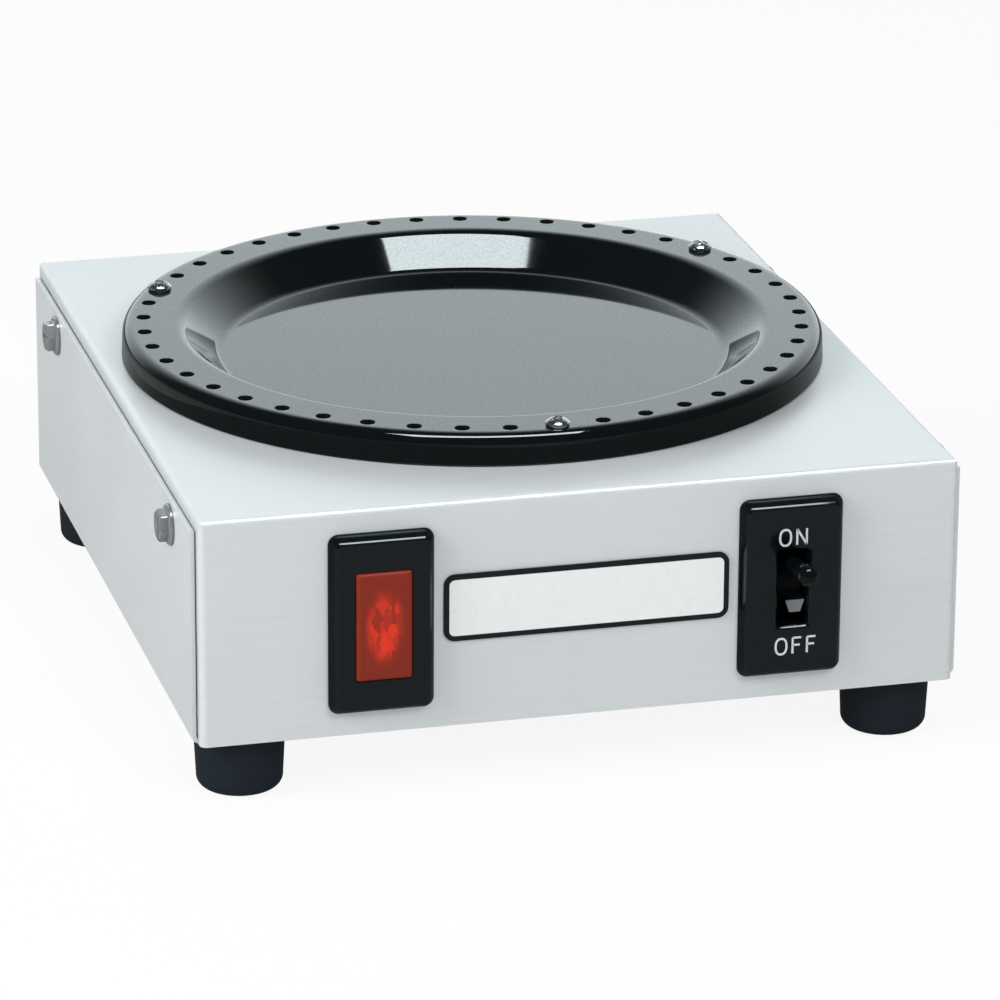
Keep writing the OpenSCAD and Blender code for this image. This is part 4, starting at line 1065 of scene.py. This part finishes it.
@dataclass
class Feet:
    """Four moulded rubber feet with a hollow for the screw."""

    height: float = 14.5
    top_r: float = 10.0
    low_r: float = 9.4
    rounding: float = 2.6
    round_parts: int = 10
    lean: float = 4.0
    top_rows: Rows = ((-0.05, -0.5), (-0.12, -0.12), (-0.5, 0.0))
    pocket_r: float = 4.6
    pocket_ease: float = 0.3
    web: float = 6.0
    hole_r: float = 2.15
    hole_ease: float = 0.2
    place_x: float = 72.5
    place_y: float = 77.5
    parts: int = 72

    def build(self, paint: Paint) -> None:
        """Turns the foot's section about its axis and stands four of them under the pan.

        Args:
            paint: the finishes.
        """
        roof = self.height - self.web
        profile = path(
            [self.pocket_r + self.pocket_ease, 0.0],
            arc((self.low_r - self.rounding, self.rounding), self.rounding, -90, self.lean,
                self.round_parts),
            beside((self.top_r, self.height), self.top_rows), [self.hole_r, self.height],
            [self.hole_r, roof + self.hole_ease], [self.hole_r + self.hole_ease, roof],
            [self.pocket_r, roof], [self.pocket_r, self.pocket_ease])
        foot = lathe(profile, self.parts, closed=True)
        parts = [foot.placed((side * self.place_x, BODY_Y + end * self.place_y, 0.0))
                 for side in (-1, 1) for end in (-1, 1)]
        made = joined(parts).to_object("moulded_feet", sharp=40.0)
        paint.dress(made, "foot_rubber", "foot_rubber", HOUSING, "rubber_feet")


@dataclass
class ControlFrame:
    """A bevelled moulded frame on the front panel, with an opening in its middle.

    Rows are insets and levels, counted from the flange's edge, from the bevel's crest or from the
    lip of the opening.
    """

    name: str
    node: str
    centre_x: float
    hole_w: float
    hole_h: float
    hole_r: float
    chamfer: float
    width: float = 23.0
    height: float = 40.5
    corner: float = 2.2
    corner_share: float = 0.75
    least_corner: float = 0.6
    edge: float = 0.7
    thick: float = 3.2
    bevel: float = 1.7
    edge_rows: Rows = ((0.0, -0.2), (0.04, 0.0), (0.12, 0.18), (0.15, 0.25))
    crest_rows: Rows = ((-0.76, -0.72), (-0.72, -0.65), (-0.67, -0.58), (-0.22, -0.05),
                        (-0.14, -0.012), (-0.02, 0.0), (0.30, 0.0))
    least_lip: float = 0.15
    lip_slope: float = 1.15
    lip_rows: tuple[Point, ...] = ((0.5, 0.1, 0.0), (0.1, 0.0, 0.0), (-0.06, 0.0, -0.03))
    throat_rows: Rows = ((0.05, 0.02), (0.0, -0.1))
    hole_up: float = 0.0

    def rings(self) -> np.ndarray:
        """Goes from the back of the flange, over bevel and face, and back through the opening.

        Returns:
            Rings for a loft that closes on itself.
        """
        inset = [(0.0, 0.0), *beside((0.0, self.edge), self.edge_rows),
                 *beside((self.bevel, self.thick), self.crest_rows)]
        outer = [(self.width - 2 * d, self.height - 2 * d,
                  max(self.corner - self.corner_share * d, self.least_corner), z)
                 for d, z in inset]
        lip = max(self.chamfer, self.least_lip)
        low = self.thick - self.lip_slope * lip
        grown = [*((2 * lip + more, lip + bend, self.thick + z) for more, bend, z in self.lip_rows),
                 *((more, 0.0, low + z) for more, z in self.throat_rows), (0.0, 0.0, 0.0)]
        inner = [(self.hole_w + more, self.hole_h + more, self.hole_r + bend, z)
                 for more, bend, z in grown]
        rings = rounded_stack(outer + inner)
        rings[len(outer):, :, 1] += self.hole_up
        return rings

    def build(self, paint: Paint) -> None:
        """Makes and dresses the frame."""
        made = loft(self.rings(), closed=True).placed((self.centre_x, FRONT_Y, CONTROL_Z), ON_PANEL)
        paint.dress(made.to_object(self.name, sharp=50.0), "bezel_plastic", "bezel_plastic",
                    HOUSING, self.node)


@dataclass
class PilotLamp:
    """The lamp's frame and its red lens.

    Rows are what comes off the lens's width and height, and the level, counted from the bevel's
    foot or from the face.
    """

    lens_w: float = 12.1
    lens_h: float = 24.2
    corner: float = 0.4
    face: float = 4.0
    bevel: float = 0.6
    foot: float = -1.5
    side_rows: Rows = ((0.0, -0.05), (0.12, 0.12))
    face_rows: Rows = ((-0.2, -0.1), (0.2, 0.0), (0.8, 0.0))
    frame_gap: float = 0.3
    frame_corner: float = 0.5

    def build(self, paint: Paint) -> None:
        """Makes the frame, then the lens as rounded rectangles that narrow at the bevel.

        Args:
            paint: the finishes.
        """
        ControlFrame("lamp_frame", "lamp_bezel", LAMP_X, self.lens_w + self.frame_gap,
                     self.lens_h + self.frame_gap, self.frame_corner, 0.0).build(paint)
        rows = [(0.0, self.foot), *beside((0.0, self.face - self.bevel), self.side_rows),
                *beside((2 * self.bevel, self.face), self.face_rows)]
        rings = rounded_stack([(self.lens_w - off, self.lens_h - off, self.corner, z)
                               for off, z in rows])
        lens = loft(rings).placed((LAMP_X, FRONT_Y, CONTROL_Z), ON_PANEL)
        paint.dress(lens.to_object("lamp_window", sharp=40.0), "lens_red", "lens_red", HOUSING,
                    "lamp_lens")


# Capitals in a box that is 1 wide and 1 high about its middle line: the box's width as a share of
# its height, and the straight strokes. A letter with none is a bow round its box.
LETTERS: dict[str, tuple[float, tuple[tuple[Pair, Pair], ...]]] = {
    "O": (0.68, ()),
    "N": (0.60, (((0.0, -0.5), (0.0, 0.5)), ((0.0, 0.5), (1.0, -0.5)), ((1.0, -0.5), (1.0, 0.5)))),
    "F": (0.52, (((0.0, -0.5), (0.0, 0.5)), ((0.0, 0.5), (1.0, 0.5)), ((0.0, 0.04), (0.85, 0.04)))),
}


@dataclass
class ToggleSwitch:
    """The switch's frame with its two words, and the bat lever that turns in it.

    Rows of the bat's root are offsets from its radius and from the drum's. A rest is the block
    under the bat, and the pad is its face, painted light grey as a highlight.
    """

    slot_w: float = 6.6
    slot_h: float = 17.2
    slot_r: float = 0.4
    slot_chamfer: float = 0.7
    slot_up: float = 0.25

    pivot: float = 6.0
    tilt: float = 20.0
    crank: float = 12.0
    length: float = 20.5
    tip_r: float = 2.35
    tip_arc: Pair = (8.0, 88.0)
    tip_parts: int = 12
    bat_parts: int = 48
    root_r: float = 1.7
    root_rows: Rows = ((0.5, -1.0), (0.35, 0.1), (0.08, 0.6), (0.08, 1.2))
    taper: Pair = (0.1, 2.0)
    taper_parts: int = 8
    drum_r: float = 5.4
    drum_w: float = 6.0
    drum_ease: float = 0.3
    drum_parts: int = 72
    bore_r: float = 1.3
    tail_r: float = 2.6
    tail: Pair = (-9.0, -2.0)
    tail_bore: float = 1.5
    tail_parts: int = 40
    rest_w: Pair = (4.3, 2.4)
    rest_z: Pair = (-2.95, -5.7)
    rest_out: Point = (3.0, 7.5, 7.7)
    rest_root: Pair = (1.2, 0.5)
    rest_x: float = 0.8

    face: float = 3.2
    cap: float = 3.6
    letter_gap: float = 0.38
    bow: float = 0.85
    bow_parts: int = 40
    line_points: int = 4
    pen: float = 0.48
    pen_edges: tuple[float, ...] = (-0.5, -0.44, 0.44, 0.5)
    lift: float = 0.12
    sunk: float = 0.05
    on_at: Pair = (-0.3, 12.1)
    off_at: Pair = (0.7, -12.9)

    @property
    def hinge(self) -> np.ndarray:
        """Middle of the lever's hinge."""
        return np.array([SWITCH_X, FRONT_Y + self.pivot, CONTROL_Z])

    def rest(self, rows: Sequence[Point]) -> Surface:
        """Block under the bat, wider at its top.

        Args:
            rows: rise, widening of the lower edge and distance from the hinge of each ring.

        Returns:
            The block in its place.
        """
        (top, low), (high, deep) = self.rest_w, self.rest_z
        rings = [[(-top / 2, high + rise, out), (top / 2, high + rise, out),
                  (low / 2 + wide, deep + rise, out), (-low / 2 - wide, deep + rise, out)]
                 for rise, wide, out in rows]
        return loft(np.array(rings)).placed(self.hinge + (self.rest_x, 0.0, 0.0), ON_PANEL)

    @staticmethod
    def slant(angle: float) -> np.ndarray:
        """Axes across, upward and outward, with outward raised by an angle in degrees."""
        c, s = math.cos(math.radians(angle)), math.sin(math.radians(angle))
        return np.array([[1.0, 0.0, 0.0], [0.0, s, c], [0.0, -c, s]])

    def bat(self) -> bpy.types.Object:
        """Turns the bat about its own line.

        Its tip lies on the lever's line, and its root stands above that line by the crank.

        Returns:
            The bat.
        """
        start = np.array([self.root_r, self.drum_r])
        end = (self.tip_r, self.length)
        profile = path(beside(start, self.root_rows),
                       np.linspace(start + self.taper, end, self.taper_parts),
                       arc((0.0, self.length), self.tip_r, *self.tip_arc, self.tip_parts))
        bat = lathe(profile, self.bat_parts)
        lever, own = self.slant(self.tilt), self.slant(self.tilt - self.crank)
        root = self.hinge + self.length * (lever[2] - own[2])
        return bat.placed(root, own).to_object("toggle_bat", sharp=40.0)

    def drum(self) -> bpy.types.Object:
        """Turns the drum about the hinge and the tail about the lever's line, and adds the rest.

        Returns:
            The three as one piece.
        """
        half, full, eased = self.drum_w / 2, self.drum_r, self.drum_r - self.drum_ease
        end = half - self.drum_ease
        drum = lathe(path([self.bore_r, -half], [eased, -half], [full, -end], [full, end],
                          [eased, half], [self.bore_r, half]), self.drum_parts, closed=True)
        low, high = self.tail
        tail = lathe(path([self.tail_bore, low], [self.tail_r, low], [self.tail_r, high],
                          [self.tail_bore, high]), self.tail_parts, closed=True)
        axes = self.slant(self.tilt)
        back, face, _ = self.rest_out
        parts = [drum.placed(self.hinge, np.roll(axes, -1, 0)), tail.placed(self.hinge, axes),
                 self.rest([(*self.rest_root, back), (0.0, 0.0, face)])]
        return joined(parts).to_object("toggle_drum", sharp=40.0)

    def stroke(self, line: np.ndarray, closed: bool = False) -> Surface:
        """Flat pen stroke: a low section carried along a line, half the pen to each side.

        Args:
            line: points of the stroke's middle.
            closed: joins the end to the start.

        Returns:
            The stroke.
        """
        ahead = np.roll(line, -1, 0) - np.roll(line, 1, 0) if closed else np.gradient(line, axis=0)
        side = np.stack([-ahead[:, 1], ahead[:, 0]], -1)
        side /= np.linalg.norm(ahead, axis=1, keepdims=True)
        reach = np.array(self.pen_edges)[:, None] * self.pen
        high = np.array([-self.sunk, self.lift, self.lift, -self.sunk])[:, None]
        return loft(at_heights(line[:, None] + side[:, None] * reach, high), closed)

    def letters(self, word: str) -> list[Surface]:
        """Strokes of a word in plain capitals, centred on its own origin.

        A bow is sign(cos a) |cos a|^p across and the same of the sine upward, with the bow as p.

        Args:
            word: made of the letters O, N and F.

        Returns:
            One surface a stroke.
        """
        gap = self.letter_gap * self.cap
        boxes = [np.array([LETTERS[k][0] * self.cap, self.cap]) for k in word]
        at = -(sum(box[0] for box in boxes) + gap * (len(word) - 1)) / 2
        strokes: list[Surface] = []
        for k, box in zip(word, boxes):
            lines = LETTERS[k][1]
            if not lines:
                way = around(circle(self.bow_parts))
                bow = np.sign(way) * np.abs(way) ** self.bow * box / 2
                strokes.append(self.stroke(bow + (at + box[0] / 2, 0.0), closed=True))
            strokes += [self.stroke(np.linspace(start, end, self.line_points) * box + (at, 0.0))
                        for start, end in lines]
            at += box[0] + gap
        return strokes

    def words(self) -> bpy.types.Object:
        """ON above the slot and OFF below it, on the face of the frame.

        Returns:
            Both words as one piece.
        """
        parts = [s.placed((SWITCH_X + x, FRONT_Y - self.face, CONTROL_Z + z), ON_PANEL)
                 for word, (x, z) in (("ON", self.on_at), ("OFF", self.off_at))
                 for s in self.letters(word)]
        return joined(parts).to_object("switch_words", sharp=30.0)

    def build(self, paint: Paint) -> None:
        """Makes and dresses the frame, the words and the lever.

        Args:
            paint: the finishes.
        """
        ControlFrame("switch_frame", "switch_bezel", SWITCH_X, self.slot_w, self.slot_h,
                     self.slot_r, self.slot_chamfer, hole_up=self.slot_up).build(paint)
        paint.dress(self.words(), "word_ink", "bezel_plastic", HOUSING)
        paint.dress(self.bat(), "lever_plastic", "lever_plastic", TOGGLE, "toggle_lever")
        paint.dress(self.drum(), "drum_plastic", "lever_plastic", TOGGLE)
        # The rest's front face, painted light grey as a highlight in the slot.
        pad = self.rest([(0.0, 0.0, out) for out in self.rest_out[1:]])
        paint.dress(pad.to_object("toggle_pad_highlight", sharp=20.0), "pad_painted_highlight", "lever_plastic", TOGGLE)


@dataclass
class BlankPlate:
    """The blank white plate between the frames, with a plain dark border.

    Rows are insets from the plate's sides, and levels counted from its face.
    """

    width: float = 63.0
    height: float = 15.0
    corner: float = 2.4
    up: float = 1.5
    thick: float = 0.5
    face_rows: Rows = ((0.0, -0.12), (0.04, -0.03), (0.15, 0.0), (0.6, 0.0))
    pen: float = 1.15
    inset: float = -0.03
    border_lift: float = 0.03
    border_sunk: float = 0.1

    def stack(self, rows: Sequence[Pair]) -> np.ndarray:
        """Rings of the plate's outline, at insets that also come off its corners, and levels."""
        return rounded_stack([(self.width - 2 * d, self.height - 2 * d, self.corner - d, z)
                              for d, z in rows])

    def build(self, paint: Paint) -> None:
        """Makes the plate and its border as stacks of rounded rectangles.

        Args:
            paint: the finishes.
        """
        place = ((LAMP_X + SWITCH_X) / 2, FRONT_Y, CONTROL_Z + self.up)
        plate = loft(self.stack([(0.0, 0.0), *beside((0.0, self.thick), self.face_rows)]))
        face = plate.placed(place, ON_PANEL).to_object("blank_front", sharp=50.0)
        paint.dress(face, "blank_face", "blank_face", HOUSING, "blank_plate")
        inner, top = self.inset + self.pen, self.thick + self.border_lift
        rings = self.stack([(self.inset, 0.0), (self.inset, top), (inner, top),
                            (inner, self.thick - self.border_sunk)])
        border = loft(rings, closed=True).placed(place, ON_PANEL)
        paint.dress(border.to_object("blank_border", sharp=30.0), "border_ink", "bezel_plastic",
                    HOUSING)


@dataclass
class CordGland:
    """The moulded bush in the back panel that the cord goes through."""

    place_x: float = 49.0
    level: float = 31.5
    bore_r: float = 4.1
    bore_round: float = 0.8
    neck_r: float = 7.9
    flange_r: float = 10.0
    flange_t: float = 3.0
    flange_round: float = 1.0
    ease: float = 0.1
    tail: float = 7.0
    tail_taper: float = 0.6
    snap: float = 1.3
    barb: float = 0.8
    parts: int = 72

    def build(self, paint: Paint) -> None:
        """Turns the bush's section about the cord's line.

        Args:
            paint: the finishes.
        """
        rim, mouth = self.flange_round, self.bore_round
        profile = path(
            [self.bore_r, -self.tail], [self.neck_r - self.tail_taper, -self.tail],
            [self.neck_r + self.barb, -self.snap], [self.neck_r, -self.snap], [self.neck_r, 0.0],
            [self.flange_r - self.ease, 0.0], [self.flange_r, self.ease],
            arc((self.flange_r - rim, self.flange_t - rim), rim, 0, 90),
            arc((self.bore_r + mouth, self.flange_t - mouth), mouth, 90, 180))
        place = (self.place_x, BACK_Y, self.level)
        bush = lathe(profile, self.parts, closed=True).placed(place, ON_BACK)
        paint.dress(bush.to_object("cord_bush", sharp=40.0), "gland_plastic", "gland_plastic",
                    HOUSING, "cord_gland")


@dataclass(frozen=True)
class Softbox:
    """A soft rectangular lamp that faces the plate: its direction, distance and size in metres."""

    name: str
    toward: Point
    away: float
    size: Pair
    power: float
    aim: Point = (0.0, PLATE_Y * MM, 0.06)

    def hang(self) -> None:
        """Hangs the lamp, out of sight of the camera and of mirrors."""
        data = bpy.data.lights.new(self.name, "AREA")
        data.shape = "RECTANGLE"
        data.size, data.size_y = self.size
        data.energy = self.power
        made = linked(self.name, data)
        z = np.asarray(self.toward) / np.linalg.norm(self.toward)
        x = np.cross((0.0, 0.0, 1.0), z)
        x /= np.linalg.norm(x)
        stood(made, x, np.cross(z, x), z, np.asarray(self.aim) + z * self.away)
        made.visible_camera = made.visible_glossy = False


SOFTBOXES = (
    Softbox("front_softbox", (0.241, -0.752, 0.612), 1.3, (0.42, 0.34), 5.7),
    Softbox("top_softbox", (0.0, -0.20, 0.98), 1.4, (0.7, 0.5), 2.0),
    Softbox("left_softbox", (-0.85, -0.25, 0.46), 1.3, (0.7, 0.7), 13.0),
)


@dataclass
class Studio:
    """The camera, the floor, the world and the lamps."""

    azimuth: float = -14.67
    elevation: float = 20.18
    roll: float = 0.37
    distance: float = 1422.9
    focal_px: float = 6234.5
    image_px: float = 1000.0
    aim: Pair = (5.08, 14.60)
    target: Point = (0.0, 6.066773, 15.5)
    sensor: float = 36.0
    clip: Pair = (0.05, 60.0)

    world_fill: float = 0.42
    room_tint: Colour = (0.90, 1.01, 1.04)
    bright_side: Point = (0.35, 0.94, 0.0)
    bright_span: Pair = (0.40, 1.05)
    back_wall: float = 1.14
    dim_front: float = 0.06
    softbox: float = 9.8
    softbox_x: Pair = (-0.325, 0.315)
    softbox_y: Pair = (-0.36, -0.10)

    floor_half: float = 6.0
    floor_z: float = -0.02
    floor_points: int = 9
    floor_tone: Colour = (0.86, 0.86, 0.86)
    floor_mirror: Pair = (0.13, 0.05)
    floor_near: Pair = (0.25, 0.80)
    shade: float = 0.10

    def camera(self) -> None:
        """Sets the camera on a line from the target, turned by the roll and slid by the aim."""
        a, e, r = (math.radians(v) for v in (self.azimuth, self.elevation, self.roll))
        back = np.array([math.sin(a) * math.cos(e), -math.cos(a) * math.cos(e), math.sin(e)])
        level = np.array([math.cos(a), math.sin(a), 0.0])
        upward = np.cross(back, level)
        right = math.cos(r) * level + math.sin(r) * upward
        up = math.cos(r) * upward - math.sin(r) * level
        slid = np.asarray(self.target) + self.aim[0] * right + self.aim[1] * up
        data = bpy.data.cameras.new("photo_camera")
        data.sensor_fit = "HORIZONTAL"
        data.sensor_width = self.sensor
        data.lens = self.focal_px / self.image_px * self.sensor
        data.clip_start, data.clip_end = self.clip
        made = linked("photo_camera", data)
        stood(made, right, up, back, (slid + self.distance * back) * MM)
        bpy.context.scene.camera = made

    @staticmethod
    def seen_directly(net: Wiring) -> bpy.types.NodeSocket:
        """Tells rays that see a surface from those that only light others by it.

        Args:
            net: the wiring that asks.

        Returns:
            1 for camera, glossy and transmission rays and 0 for the rest.
        """
        rays = net.add("LightPath")
        first = net.math("MAXIMUM", rays["Is Camera Ray"], rays["Is Glossy Ray"])
        return net.math("MAXIMUM", first, rays["Is Transmission Ray"])

    def world(self) -> None:
        """White where it is seen, a room where it is mirrored, and grey where it lights."""
        world = bpy.data.worlds.new("studio")
        world.use_nodes = True
        net, nodes = Wiring(world.node_tree), world.node_tree.nodes
        fill = nodes["Background"]
        net.feed(fill, {"Color": WHITE, "Strength": self.world_fill})
        seen = net.add("Background", {"Color": WHITE})[0]
        mirrored = net.add("Background", {"Color": (*self.room_tint, 1.0),
                                          "Strength": self.room(net)})[0]
        inner = net.shaders(net.add("LightPath")["Is Glossy Ray"], seen, mirrored)
        outer = net.shaders(self.seen_directly(net), fill.outputs[0], inner)
        net.feed(nodes["World Output"], {"Surface": outer})
        bpy.context.scene.world = world

    def room(self, net: Wiring) -> bpy.types.NodeSocket:
        """The room in a mirror: a white wall behind the object, an unlit front, a softbox overhead.

        Args:
            net: the world's wiring.

        Returns:
            The room's strength.
        """
        way = net.add("TexCoord")["Generated"]
        toward = net.vector("DOT_PRODUCT", "Value", way, self.bright_side)
        level = net.ramp(toward, self.bright_span, (self.dim_front, self.back_wall), smooth=True)
        parts = net.add("SeparateXYZ", {0: way})
        inside = [net.math("COMPARE", parts[axis], (low + high) / 2, (high - low) / 2)
                  for axis, (low, high) in (("X", self.softbox_x), ("Y", self.softbox_y))]
        return net.math("MULTIPLY_ADD", net.math("MULTIPLY", *inside), self.softbox, level)

    def floor(self) -> None:
        """Pale floor that stays white in the picture apart from a faint shadow."""
        side = np.linspace(-self.floor_half, self.floor_half, self.floor_points) / MM
        flat = np.stack(np.meshgrid(side, side, indexing="xy"), -1)
        points = at_heights(flat, np.array(self.floor_z)).reshape(-1, 3)
        quads = grid_quads(self.floor_points, self.floor_points, False, False)
        made = Surface(points, quads, NO_TRIS).to_object("floor")
        paint, net, shader = new_material("floor_white")
        net.tree.nodes.remove(shader)
        away = net.vector("LENGTH", "Value", net.add("TexCoord")["Object"])
        fading = net.ramp(away, self.floor_near, self.floor_mirror)
        glare = net.ramp(net.add("LightPath")["Is Glossy Ray"], (0.0, 1.0), (1.0, fading))
        lit = net.add("Emission", {"Strength": glare})[0]
        matt = net.add("BsdfDiffuse", {"Color": (*self.floor_tone, 1.0)})[0]
        share = net.math("MULTIPLY", self.seen_directly(net), 1.0 - self.shade)
        net.feed(net.tree.nodes["Material Output"], {"Surface": net.shaders(share, matt, lit)})
        made.data.materials.append(paint)

    def build(self) -> None:
        """Sets the camera, the world, the floor and the lamps."""
        bpy.context.scene.view_settings.view_transform = "Standard"
        self.camera()
        self.world()
        self.floor()
        for lamp in SOFTBOXES:
            lamp.hang()


def main() -> None:
    """Builds the stage, the pieces in order and the kept nodes."""
    logging.basicConfig(level=logging.INFO, format="%(message)s")
    Studio().build()
    paint = Paint()
    for part in (Housing(), WarmerPlate(), SideScrews(), Feet(), PilotLamp(), ToggleSwitch(),
                 BlankPlate(), CordGland()):
        part.build(paint)
    paint.dress_kept()


if __name__ == "__main__":
    main()
